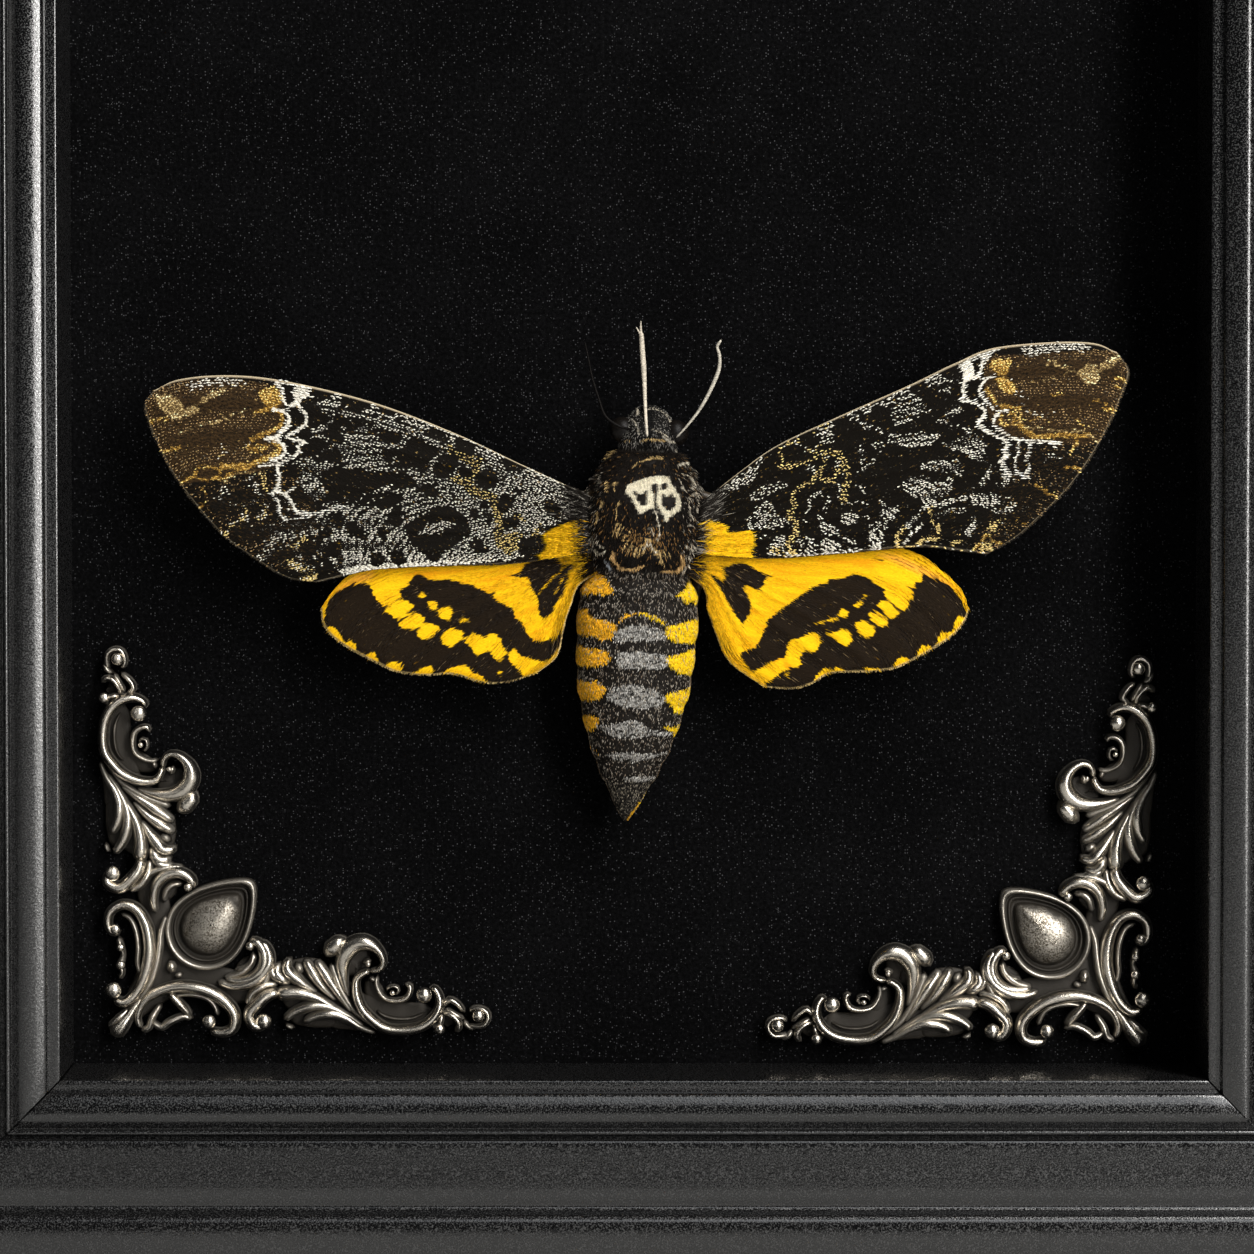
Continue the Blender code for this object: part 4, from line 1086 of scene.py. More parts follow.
LEFT_FORE_MARKS = Marks(Sheet(-58.57, 19.56, 0.034215), 0.2, """
white
0.47 1 514,145 533,168 535,193 548,215 557,221
0.55 1 505,230 540,238 555,258 553,280 538,300 520,318 479,327
0.52 1 485,326 520,333 540,350 542,373 525,388 498,397
0.44 1 458,417 498,411 533,410
0 1 570,148 595,150 615,168 625,190 600,199 594,218 564,226 555,215 574,199 562,181 577,168
0.47 1 588,225 608,245 613,273 590,295 550,321 575,329 608,337 585,350 589,366 564,390 530,405 519,426
  527,450 520,476 512,495 495,506
0.44 1 512,495 538,506 558,521 572,546 587,569 617,571
0.34 1 538,506 574,488
0.39 0.9 508,515 524,535 525,565 538,585 550,593
0.26 0.8 550,593 598,580 633,575 683,560 733,546
0.39 0.9 520,140 563,148 623,158
ochre
0 0.9 457,173 498,158 528,178 534,210 510,224 478,215 462,196
0.55 0.8 448,240 498,230 528,240 537,265 525,285 498,300 468,315 433,330
0.6 1 508,338 528,355 513,378 473,393 433,410 383,415 338,418
0 0.55 423,345 473,338 498,350 463,375 423,370
0.26 1 249,441 274,416 313,421 334,436 313,454 274,461 249,444
0.3 1 198,471 248,446
0.24 1 274,461 333,455 364,450
0.26 1 333,436 358,416 393,410
0.3 0.9 353,449 383,435 428,421
0.34 0.9 93,278 123,266 158,261
0.36 0.9 137,374 163,363 204,355
0.38 0.9 257,556 283,536
0.22 0.8 273,489 290,510
tan
0 0.85 115,185 164,185 202,200 224,226 248,214 264,221 262,240 234,251 195,266 168,256 133,221
0.6 0.75 273,201 313,181 344,166
0.2 0.6 344,166 404,156
0.18 0.7 198,309 293,276 344,257 433,230
0.4 0.6 303,281 339,264 364,261
0.26 0.9 343,469 363,453 403,439 464,436
lace
0 0.88 751,231 991,261 1071,301 1201,346 1251,371 1331,411 1411,451 1461,501 1471,581 1401,611 1371,621
  1396,641 1376,701 1301,716 1201,726 1031,741 901,754 751,776 731,761 731,261
0 0.95 630,215 658,209 703,178 724,190 709,231 677,241
0.44 0.9 708,235 773,258 817,266
0.63 0.95 633,313 653,295 683,280 698,250
0.52 0.95 653,316 708,345 743,371
0.42 0.9 708,345 658,371 598,400 573,408
0 1 583,416 633,395 714,405 703,416 673,435 653,460 679,490 674,516 644,531 608,505 588,471 598,445
0 0.95 729,386 734,360 773,365 817,385 817,426 748,411
0 0.85 748,286 783,255 817,220 843,215 843,345 803,326 773,301
0 0.85 658,541 703,531 753,518 774,540 833,570 833,596 763,581 733,571 683,561
0.42 0.8 433,630 533,608 608,598 683,570
0 0.6 483,617 583,597 683,587 659,626 634,656 514,656
0.52 0.9 668,581 694,611 714,631 758,621
0.89 0.85 433,460 449,490 469,511 479,531 474,566 464,591
0.63 1 474,436 476,465 481,490
0.55 0.9 339,493 359,506
0.47 0.8 319,518 354,533 404,543 449,528
0.63 0.9 405,543 421,568 404,588 366,611 341,641
0.42 0.8 418,581 434,616
0.47 0.4 538,505 553,545 543,590
0.52 0.8 328,390 354,366 404,351 434,346
0.42 0.7 353,366 334,346
0 0.8 218,148 313,128 404,136 394,153 334,158 274,161 234,166
0 0.3 458,660 513,640 563,680 503,710
0.73 0.95 650,702 680,660 740,645 810,665 870,690 880,730
0.73 0.95 590,710 575,680 600,650 640,628
0.86 0.9 560,730 600,752 640,766 605,788
0.99 0.85 780,742 800,700 830,740 870,760
0.73 0.8 450,722 500,690
0.73 0.7 700,720 720,745 760,755
0.47 0.6 640,700 660,740
cell
0 1 841,291 901,307 924,331 881,345 849,322
0 1 944,329 976,327 1031,356 1054,369 1021,392 1005,426 992,449 971,427 941,420 901,427 880,411 857,381
  867,356 896,364 934,350
0 1 721,424 851,434 931,439 965,461 970,477 926,495 886,481 841,487 791,507 721,511
0 0.8 721,511 916,499 916,541 882,562 831,546 721,541
0 1 886,561 920,541 927,581 916,612 886,607 876,582
0 1 971,489 1011,471 1047,496 1042,512 1002,517 986,502
0 1 935,612 966,587 1011,562 1052,545 1102,562 1137,587 1146,622 1136,642 1102,667 1072,687 1047,712
  1031,729 1011,722 976,687 950,662 935,642
0 1 1031,417 1062,382 1096,376 1107,397 1092,432 1072,453 1041,457 1031,437
0 1 1111,417 1146,426 1146,451 1122,452 1106,437
0 1 1006,285 1072,307 1062,341 1031,327 1001,312
0 1 1106,317 1151,340 1162,357 1146,382 1112,367 1096,342
0 1 1161,447 1191,427 1232,441 1237,462 1217,487 1186,487 1160,467
0 1 1230,532 1267,506 1293,526 1287,547 1256,572 1235,556
0 1 1251,391 1312,396 1317,432 1286,437 1250,417
0 1 1251,592 1292,581 1307,602 1282,622 1255,617
0 1 1306,651 1387,641 1396,676 1352,712 1306,702
0 1 1181,521 1202,526 1202,552 1185,547
0 1 1141,561 1167,556 1177,582 1155,587
0 1 1191,572 1207,566 1217,592 1195,597
0 0.8 1161,642 1187,661 1202,696 1166,697 1146,671
0 1 811,706 842,696 867,712 862,742 826,742
0 1 881,696 922,691 937,722 922,742 891,732
0 1 751,592 792,612 807,642 781,652 741,632
0 1 851,612 882,622 867,647 836,632
0 1 1391,522 1437,541 1437,586 1406,582 1385,551
0 1 1286,492 1317,495 1312,507 1284,502
0 0.7 751,311 781,291 811,276 781,261 721,261 721,311
isle
0 1 976,632 1011,607 1052,597 1102,602 1097,612 1052,632 1011,637
0 1 890,392 907,386 910,407 895,412
0 0.8 982,496 996,500 996,516 986,514
0.16 0.5 751,427 851,434 936,430
0.3 0.4 791,507 841,487 901,481
0.22 1 1176,405 1216,411 1281,446 1322,462
0.18 1 921,306 976,322 1052,354
gold
1 0.8 1081,362 1112,382 1152,394 1172,402
1 1 1167,405 1162,436 1142,462 1142,482 1172,502 1202,512 1222,532 1232,562 1242,592 1239,632 1247,667
  1272,692
0.8 0.9 1096,457 1112,462 1142,477
0 0.9 1241,642 1312,632 1302,677 1272,707 1246,687
0.69 0.8 1296,582 1312,592
0.69 0.6 1371,611 1351,641
1 1 474,436 476,465 481,490
1 0.7 405,543 421,568 404,588 366,611 341,641
1 0.6 474,531 474,566 464,591
1 0.8 575,680 600,650
1 0.8 560,730 600,752 640,766 605,788
0.69 0.4 328,390 354,366 404,351
brown
0 1 88,180 180,140 440,140 540,190 520,300 520,340 500,420 240,470 200,470 120,340 84,250
0 0.35 200,470 480,440 620,480 640,700 500,760 340,660
patch
0 1 1384,640 1440,612 1560,590 1560,760 1440,745 1372,715 1396,680
""")
RIGHT_FORE_MARKS = Marks(Sheet(5.142, 21.797, 0.03279), 0.2, """
white
0 1 909,157 944,143 961,159 967,185 962,206 940,218 925,206 924,180
0.47 1 932,214 925,238 929,264 926,279 951,284 977,295 1000,316 993,337 977,358 998,378 1024,394 1051,405
  1076,425 1067,452 1077,471 1051,484 1067,509 1083,535
0.44 1 1012,136 993,144 989,170 979,193 966,202
0.36 1 966,202 998,206 1035,195
0.44 1 1008,207 987,228 982,253 998,279 1030,306
0.42 1 1076,316 1051,318 1034,338 1030,359 1046,378 1081,399 1112,411 1159,419 1217,421 1243,431
0.21 0.7 1159,418 1253,419
0.47 0.9 910,150 956,136 1000,123 1050,103
0.34 0.95 1115,423 1114,452 1105,478 1100,504 1114,530
0.29 0.9 1149,432 1149,462 1134,478 1153,494 1140,519 1134,540 1149,541
ochre
0 0.9 1014,159 1035,140 1087,141 1082,170 1076,192 1051,192 1024,176
0 0.9 1039,197 1071,201 1108,232 1093,260 1056,244 1039,218
0.4 0.9 1008,239 1024,269 1051,296 1082,301 1119,306
0.4 0.9 1051,326 1061,358 1081,364
0 0.45 1081,311 1128,316 1133,347 1102,368 1076,347
0.55 1 1119,368 1166,399 1218,400 1270,394 1317,400 1354,395
0.26 0.5 1227,353 1187,337 1145,348
0.26 0.8 1363,275 1410,295 1446,321
0.4 0.9 1405,305 1447,321
0.3 0.9 1436,207 1467,206 1484,223
0.3 0.7 1446,233 1458,239
0.3 0.95 1269,505 1316,510 1333,530
0.3 0.9 1176,562 1197,583 1232,599 1260,620
0.32 0.9 1291,458 1306,436 1312,415
0.22 0.7 1102,677 1134,698 1160,712
0.3 0.9 966,787 992,755 1008,734 1030,755 1056,766
0.26 0.8 1227,258 1260,258
0.5 0.5 1316,347 1342,368
tan
0 0.85 1311,181 1358,150 1380,165 1395,201 1354,228 1326,202
0 0.7 1379,155 1415,140 1457,118 1463,138 1432,165 1394,181
0.34 0.85 1212,160 1227,145 1254,165 1307,180
0.26 1 1140,369 1176,374 1239,380 1301,382 1343,390 1395,426
0.22 0.5 1170,223 1218,207 1239,191
0.3 0.4 1359,235 1373,279
lace
0 0.75 204,593 250,572 292,550 334,566 314,577 271,598 235,619 209,619
0 0.7 183,702 209,665 250,619 282,640 292,665 334,681 345,694 292,713 240,718 198,718
0 0.85 282,744 314,738 335,749 314,775 292,796 261,801
0 0.8 63,603 104,576 157,540 219,498 246,466 236,515 210,560 157,577 104,603 78,629
0 0.5 360,749 398,743 439,755 429,786 398,807 365,786
0 0.9 449,743 481,749 512,765 492,796 460,807 444,775
0.6 0.75 292,799 365,805 445,807 574,792
0.39 0.6 522,744 569,770
0.52 1 303,448 313,482 308,506 344,503 376,495 417,477 438,453
0.47 1 303,448 334,425 365,409
0.47 0.9 365,425 397,446 417,449 449,430 486,412
0.8 0.95 438,452 471,456 506,462 522,487 528,515 533,545 523,587 518,619
0.55 0.95 459,468 454,498 433,529 450,551 481,550 501,525 502,488
0.55 0.95 397,503 423,519 434,534
0.63 1 433,534 407,555 366,581 345,607 351,639 335,665 356,691 356,723 340,753 335,769 345,795
0.5 0.9 485,555 506,576 518,603
0.47 0.8 445,594 413,607 403,633 398,660
0.47 0.8 475,603 471,623 455,644 460,661
0.67 0.85 438,681 450,701 486,718 471,734
0.42 0.8 444,713 502,734
0 1 511,671 544,652 567,670 565,696 528,702 509,686
0.5 0.7 548,566 579,572 591,603
0.47 0.75 569,530 600,503 627,482
0.37 0.8 579,440 577,478
0.47 0.9 621,435 643,430 638,447
0.42 0.6 532,607 537,628 574,623 595,639
0.63 0.9 616,770 621,723 638,701 659,697 653,723 643,743 643,769 627,781
0 0.7 642,655 678,633 711,645 700,676 659,701
0.47 0.8 647,618 659,639
0.47 1 704,770 704,739 721,717 752,687 773,670
0.42 0.7 731,760 758,728 784,701
0.6 0.9 777,760 818,743
0 1 673,431 685,414 742,418 818,414 818,431 742,436
0 0.85 694,572 732,560 773,537 818,550 818,639 784,619 746,588
0.73 0.9 793,504 818,494
0.42 0.6 595,670 616,717
0.47 0.6 365,701 386,693
0.47 0.3 219,733 261,743
0 0.85 1112,98 1187,86 1291,82 1364,91 1343,112 1270,112 1187,129 1134,133
0.39 0.8 1134,306 1171,326 1239,327 1244,316
0.47 0.8 1206,489 1228,462 1254,479
0.86 0.5 1097,212 1112,253 1133,269 1112,295
0 0.95 794,202 837,185 868,206 847,228 810,228
0 0.6 846,244 879,233 884,270 867,280
0.34 0.8 872,213 910,212
0 0.95 833,353 867,326 888,300 927,305 914,322 888,338 872,348 915,364 910,372 867,364
0.55 0.9 925,374 962,394 988,411
0 1 849,426 888,420 926,399 967,394 999,420 1004,453 988,473 947,468 914,453 883,442
0 1 792,499 832,493 889,479 926,488 919,505 926,530 900,536 853,520 815,515
0.47 0.9 940,468 1009,484
0 0.9 716,567 748,540 795,540 837,557 889,545 884,588 847,609 821,625 785,620 748,599
0.63 0.9 1024,500 1009,530 988,567 947,583
0 0.85 945,599 978,592 1040,598 1051,620 1009,646 978,635 936,620
0.73 0.85 1050,573 1082,551 1061,536
0.68 0.85 784,646 837,634 884,620 947,609
0.52 0.8 1081,609 1051,625 1030,646
0.52 1 815,656 821,686 842,708 837,729
0.47 0.95 841,672 873,655 926,655
0.6 0.9 966,677 962,703 941,724 947,740
0.47 0.9 768,672 748,703 716,719
0.47 0.8 784,698 774,712
0 0.9 779,755 811,739 853,733 832,755
0.47 0.9 893,766 915,755 905,734
0.42 0.8 716,781 795,781 873,792 952,802
0.68 0.8 1029,651 1061,661 1093,635
0.73 0.9 1024,713 1030,687 1056,682
0 0.8 977,797 1009,745 1030,787
0.73 0.8 716,233 738,244 733,265
0 0.85 685,295 748,279 795,295 811,317 769,338 716,369 685,348
0 1 670,394 716,394 780,389 842,394 837,415 769,421 716,432 670,432
0 0.8 500,330 560,308 640,286 735,232 762,258 802,300 762,322 700,302 640,302 560,342
0.55 0.85 550,332 600,370 645,382
0.47 0.8 618,422 642,452
0 0.85 418,382 472,348 492,400 450,432
0.47 0.6 580,470 585,520
0.47 0.4 240,500 200,540
cell
0 1 290,590 330,590 332,642 290,642 276,615
gold
1 1 303,448 313,482 308,506 344,503 376,495 417,477 438,453 471,456 506,462 522,487 533,545 518,619
0.69 0.6 334,425 365,409 397,446 449,430
0.92 0.9 454,468 454,498 433,529 450,551 481,550 501,525
0.92 1 433,534 407,555 366,581 345,607 351,639 335,665 356,691 356,723 340,753 335,769 345,795
0.92 0.8 282,786 314,795
0.92 0.8 704,770 704,739 721,717
0.92 1 777,760 818,743
0.57 0.8 1115,423 1114,452 1105,478 1100,504 1114,530 1149,541 1176,562
0.92 1 815,656 821,686 842,708 837,729
0.57 1 779,755 811,739 853,733 832,755
0.92 1 893,766 915,755 905,734
0.69 1 716,781 795,781 873,792 952,802
0 1 977,797 1009,745 1030,787
0.92 1 1024,713 1030,687 1056,682
0.92 0.4 418,382 472,348
brown
0 1 1000,130 1440,110 1490,180 1470,280 1400,420 1180,420 1040,380 1000,260
0 0.35 1100,430 1400,430 1300,620 1060,790 960,790 1060,560
patch
0 1 20,690 110,702 126,730 200,722 216,740 206,800 216,850 20,850
""")
LEFT_HIND_MARKS = Marks(Sheet(-36.774, -3.354, 0.019249), 0.42, """
dark
0 1 215,232 320,236 345,300 385,350 396,368 500,310 494,276 545,236 575,184 626,184 660,206 720,214
  800,214 850,226 900,240 962,262 1000,290 1046,282 1036,312 1080,342 1146,378 1166,430 1202,462 1232,520
  1256,556 1312,566 1390,546 1436,510 1430,570 1400,622 1362,676 1336,690 1240,668 1182,646 1160,614
  1126,640 1142,700 1192,722 1214,780 1132,806 1080,826 1004,816 984,790 960,766 906,742 880,712 840,716
  790,722 740,752 640,772 580,772 480,752 400,722 300,668 170,586 60,490 64,372 100,306
0 1 1118,186 1190,166 1232,112 1302,90 1416,66 1422,96 1462,126 1508,116 1478,172 1458,242 1442,292
  1402,342 1380,392 1326,436 1300,386 1290,312 1262,266 1240,206 1172,192
0.5 0.42 1496,340 1470,430 1446,520 1412,600
yellow
0 1 505,324 572,352 542,396 500,426 460,436 430,402 400,396 426,360 460,336
0 1 584,396 642,440 616,476 560,496 510,490 490,468 520,436 546,410
0 1 656,460 722,486 696,530 640,558 594,530 610,490
0 1 790,490 858,516 842,560 800,590 756,590 734,550 750,516
0 1 916,514 986,546 1026,524 1074,546 1086,590 1116,636 1066,680 1030,650 1010,620 940,646 904,600
  874,570 896,536
0 1 1126,640 1160,612 1182,646 1242,672 1338,686 1400,640 1430,600 1440,640 1380,720 1280,786 1216,790
  1200,750 1142,696
0 0.9 620,278 642,296 622,320 602,300
0 1 690,324 712,356 690,388 664,366 654,344
0 1 770,368 800,380 782,442 744,436 718,406 730,380
0 0.9 872,424 892,446 850,462 834,446
0 0.8 1076,735 1090,750 1072,765 1062,750
0 1 40,480 112,486 152,532 152,574 60,520
0 1 164,576 222,570 242,628 190,630
0 1 286,652 342,630 368,694 340,704
0 1 404,714 450,686 502,706 486,756 440,752
0 1 566,756 622,720 672,710 682,744 640,776 590,776
0 1 738,756 790,720 842,714 882,710 906,742 886,782 820,780
0 1 890,786 960,766 986,790 1008,820 950,812
0.22 0.75 1452,140 1390,190 1330,252 1300,290
0.16 0.7 1474,160 1430,220 1392,290
orange
0 0.6 110,330 150,250 240,186 340,166 300,216 200,236 130,300
""")
RIGHT_HIND_MARKS = Marks(Sheet(6.26, -3.354, 0.019961), 0.42, """
dark
0 1 1240,166 1292,180 1342,206 1402,240 1442,290 1482,360 1500,420 1480,480 1400,540 1300,620 1180,682
  1080,712 1020,722 940,732 830,742 740,742 660,786 556,826 440,826 358,794 402,760 466,716 500,700
  540,680 520,660 470,640 400,664 340,700 290,712 232,640 236,606 286,590 332,560 346,510 370,460 386,420
  430,386 470,356 530,310 580,276 640,240 700,220 740,200 820,186 866,168 912,180 960,206 1002,240
  1042,262 1032,292 1142,376 1172,326 1196,300 1150,246 1200,262 1196,216 1238,210
0 1 120,132 232,104 290,130 362,170 418,186 370,196 350,236 320,262 276,236 242,240 266,290 286,330
  280,382 246,442 244,470 214,420 180,370 150,320 118,260 94,230 58,168 130,212
0.55 0.45 14,330 60,480 130,560 210,650 262,726
0.22 0.5 900,150 960,106 1030,92
yellow
0 1 476,632 490,576 510,540 560,530 642,494 672,560 644,602 620,612 592,596 564,626 562,680 522,692
  500,666
0 1 462,654 400,670 340,706 288,722 262,750 330,784 360,790 400,756 440,730 470,690
0 1 708,490 740,500 790,478 832,496 850,530 830,572 790,560 750,530
0 1 858,460 900,434 942,440 978,480 960,522 920,522 890,500
0 1 934,396 976,384 1022,406 1048,442 1040,466 990,450
0 1 988,346 1020,320 1072,336 1102,370 1142,380 1100,400 1084,416 1040,400
0 0.9 916,288 928,302 914,316 902,302
0 1 880,328 908,332 884,360 858,344
0 1 800,362 832,396 820,416 780,402 784,370
0 0.8 694,432 760,410 775,420 720,440
0 0.62 630,436 690,430 700,450 640,452
0 0.7 470,722 500,716 496,744 474,742
0 1 640,776 650,742 706,692 746,716 766,692 832,728 760,744 700,770
0 1 926,692 1020,708 980,730 930,716
0 1 1084,692 1092,660 1136,636 1176,656 1130,690
0 1 1210,642 1242,570 1306,596 1260,640
0 1 1326,562 1346,506 1382,500 1426,490 1380,550
0 1 1422,440 1442,410 1484,416 1520,380 1500,460 1430,500
orange
0 0.75 1000,58 1082,66 1182,102 1292,160 1402,232 1330,206 1200,152 1100,104
""")


@dataclass(frozen=True)
class WingScales:
    """Scale-covered wing: drawn marks broken up into flecks that run along the veins."""

    name: str
    fore: bool
    ground: Colour = (0.0046, 0.0037, 0.0027)
    brown: Colour = (0.05, 0.028, 0.011)
    grey: Colour = (0.3, 0.29, 0.27)
    white: Colour = (0.66, 0.62, 0.53)
    gold: Colour = (0.7, 0.47, 0.17)
    # Flecks of the tip's clouds: dark, light.
    ochre: tuple[Colour, Colour] = ((0.1, 0.05, 0.009), (0.68, 0.4, 0.085))
    tan: tuple[Colour, Colour] = ((0.08, 0.048, 0.018), (0.7, 0.51, 0.22))
    yellow: Colour = (0.83, 0.47, 0.006)
    amber: Colour = (0.78, 0.33, 0.005)
    orange: Colour = (0.84, 0.36, 0.05)
    band: tuple[Colour, Colour] = ((0.0115, 0.0074, 0.0042), (0.2, 0.14, 0.07))

    def build(self) -> bpy.types.Material:
        """Make the finish.

        Returns:
            The material.
        """
        material, graph, shader = start_material(self.name)
        flow = graph.attribute("flow", "Vector")
        streak = graph.noise(graph.stretched(flow, 0.4, 2.6, 1.0), 1.0, 4.0, 0.6)
        scales = graph.noise(graph.stretched(flow, 3.0, 7.0, 1.0), 1.0, 2.0, 0.6)
        colour = self.fore_colour(graph, flow) if self.fore else self.hind_colour(graph, flow)
        shade = graph.mix(0.5, graph.mix(streak, (0.55, 0.55, 0.55), (1.45, 1.45, 1.45)),
                          graph.mix(scales, (0.4, 0.4, 0.4), (1.6, 1.6, 1.6)))
        colour = graph.mix(1.0, colour, shade, "MULTIPLY")
        rim = (0.66, 0.54, 0.36) if self.fore else (0.8, 0.58, 0.24)
        height = graph.math("ADD", graph.times(streak, 0.7), scales)
        graph.feed(shader, {
            "Base Color": graph.mix(graph.times(graph.attribute("rim"), 0.85), colour, rim),
            "Roughness": 0.6, "Specular IOR Level": 0.03,
            "Normal": graph.bump(height, 0.00016, 0.6)})
        return material

    def fore_colour(self, graph: Graph, flow: object) -> object:
        """Stippled reticulation, wavy white lines and ochre clouds on near-black.

        Args:
            graph: the material's graph.
            flow: coordinates along and across the veins, in mm.
        Returns:
            The colour socket.
        """
        dashes = graph.stretched(flow, 2.4, 5.6, 1.0)

        def broken(mask: object, scale: float, share: float) -> object:
            """The mask with ragged edges."""
            return BrokenMask().place(graph, dashes, mask, scale, share)["Mask"]

        cell = graph.cells(dashes, 1.3)
        dot = graph.span(cell.outputs["Distance"], 0.46, 0.3)
        chosen = graph.add("SeparateColor", {0: cell.outputs["Color"]}).outputs
        keep = graph.times(graph.attribute("lace"), 0.4)
        lit = graph.span(graph.math("SUBTRACT", keep, chosen[0]), 0.0, 0.1)
        stipple = graph.times(graph.times(dot, lit), graph.span(chosen[2], 0.0, 1.0, 0.05, 0.35))
        warm = graph.span(graph.noise(dashes, 1.1, 3.0, 0.75), 0.3, 0.75)
        brown = graph.times(broken(graph.attribute("brown"), 0.7, 0.3), warm)
        lace = graph.mix(graph.attribute("gold"), self.grey, self.gold)
        colour = graph.mix(stipple, graph.mix(brown, self.ground, self.brown), lace)
        speck = graph.span(graph.noise(dashes, 1.4, 2.0, 0.8), 0.5, 0.62)
        for word, tones in (("ochre", self.ochre), ("tan", self.tan)):
            ragged = graph.times(broken(graph.attribute(word), 0.6, 0.6), 0.9)
            colour = graph.mix(ragged, colour, graph.mix(speck, *tones))
        core = graph.math("SUBTRACT", graph.attribute("white"), 0.3)
        colour = graph.mix(broken(core, 0.8, 0.45), colour, self.white)
        return graph.mix(broken(graph.attribute("patch"), 0.4, 0.4), colour, self.yellow)

    def hind_colour(self, graph: Graph, flow: object) -> object:
        """Yellow with ragged dark bands.

        Args:
            graph: the material's graph.
            flow: coordinates along and across the veins, in mm.
        Returns:
            The colour socket.
        """
        dashes = graph.stretched(flow, 0.42, 2.6, 1.0)
        dark = BrokenMask().place(graph, dashes, graph.attribute("dark"), 1.0, 0.4)["Mask"]
        light = BrokenMask().place(graph, dashes, graph.attribute("yellow"), 1.2, 0.4)["Mask"]
        tint = graph.noise(graph.stretched(flow, 0.12, 0.9, 1.0), 1.0, 3.0, 0.55)
        yellow = graph.mix(graph.span(tint, 0.42, 0.68), self.yellow, self.amber)
        yellow = graph.mix(graph.attribute("orange"), yellow, self.orange)
        flecks = graph.noise(graph.stretched(flow, 1.6, 6.0, 1.0), 1.0, 2.0, 0.8)
        band = graph.mix(graph.times(graph.span(flecks, 0.62, 0.78), 0.3), *self.band)
        return graph.mix(light, graph.mix(dark, yellow, band), self.yellow)


@dataclass(frozen=True)
class WingShape:
    """One wing's outline in mm from the thorax, for its own side, and its marks."""

    leading: str
    outer: str
    trailing: str
    root: str
    marks: Marks


WINGS = {
    "forewing_left": WingShape(
        "13.9,5.6 20.9,8.9 29.5,12.2 38,14.4 44.9,15.4 51.8,15.1 54.9,13.9",
        "55.9,12.3 55.3,9.9 54,6.9 51.8,3.1 47.3,-2.3 43.1,-5.4 40.1,-7.2",
        "11.4,-5 17.5,-5.7 27.8,-6.3 31.2,-6.6 36.7,-7.8", "6.5,2.2 6.2,-4.2", LEFT_FORE_MARKS),
    "forewing_right": WingShape(
        "11.1,5 15,7.7 21.6,10.8 29.7,14.4 34.7,16.8 39.6,18.6 49.4,19.2 52.9,18.2",
        "54.2,16.2 53.7,14 52.3,10.6 50.4,7 47.7,3.1 44.5,-.2 41.6,-2.8",
        "11.7,-4.8 21.6,-4.6 30.7,-3.9 34.7,-4.2 38.4,-4.6", "6.7,1.5 6,-4.3",
        RIGHT_FORE_MARKS),
    "hindwing_left": WingShape(
        "12.7,-3.9 20,-4.3 27.3,-4.8 31.4,-6 34.5,-8.2 36.4,-10.5",
        "36,-12.6 34,-14.6 30.2,-16.7 27.8,-17.8 24.4,-18.2 21.6,-18.1 18.2,-19.1 15.4,-19.1",
        "7.6,-8.1 8.3,-10.6 8.9,-13.2 9.7,-16.2 11.9,-18.1", "6.1,-4.4 5.2,-6.3",
        LEFT_HIND_MARKS),
    "hindwing_right": WingShape(
        "11.7,-3.4 19.9,-3.2 26.5,-3.3 30.7,-4.6 33,-6.2 35.7,-8.6 36.6,-10.6",
        "36.1,-12 34.3,-14 29.4,-16.9 26.5,-17.7 21.2,-18 18.9,-19.2 16.7,-19.8",
        "6.9,-8.4 7.3,-11 8,-13.8 9.6,-16.9 13.3,-19.6", "5.9,-4.8 4.9,-6.6",
        RIGHT_HIND_MARKS),
}


@dataclass(frozen=True)
class WingPair:
    """What both wings of a pair share: sizes in mm, places of the veins, height of the sheet."""

    word: str
    reach: float
    depth: float
    flow: float
    veins: tuple[float, ...]
    # Height at the root, rise to the tip, and bow between the edges.
    lift: tuple[float, float, float]
    rim: float

    @property
    def slot(self) -> str:
        """The word with _scales after it, which the coat's tufts keep without using."""
        return self.word + "_scales"


FORE = WingPair("forewing", 56.0, 19.0, 52.0, (0.0, 0.1, 0.22, 0.34, 0.46, 0.58, 0.7, 0.83, 1.0),
                (8.5, 1.0, 0.7), 0.3)
HIND = WingPair("hindwing", 34.0, 15.0, 32.0, (0.0, 0.16, 0.34, 0.52, 0.68, 0.84, 1.0),
                (7.5, 0.4, 0.3), 0.7)


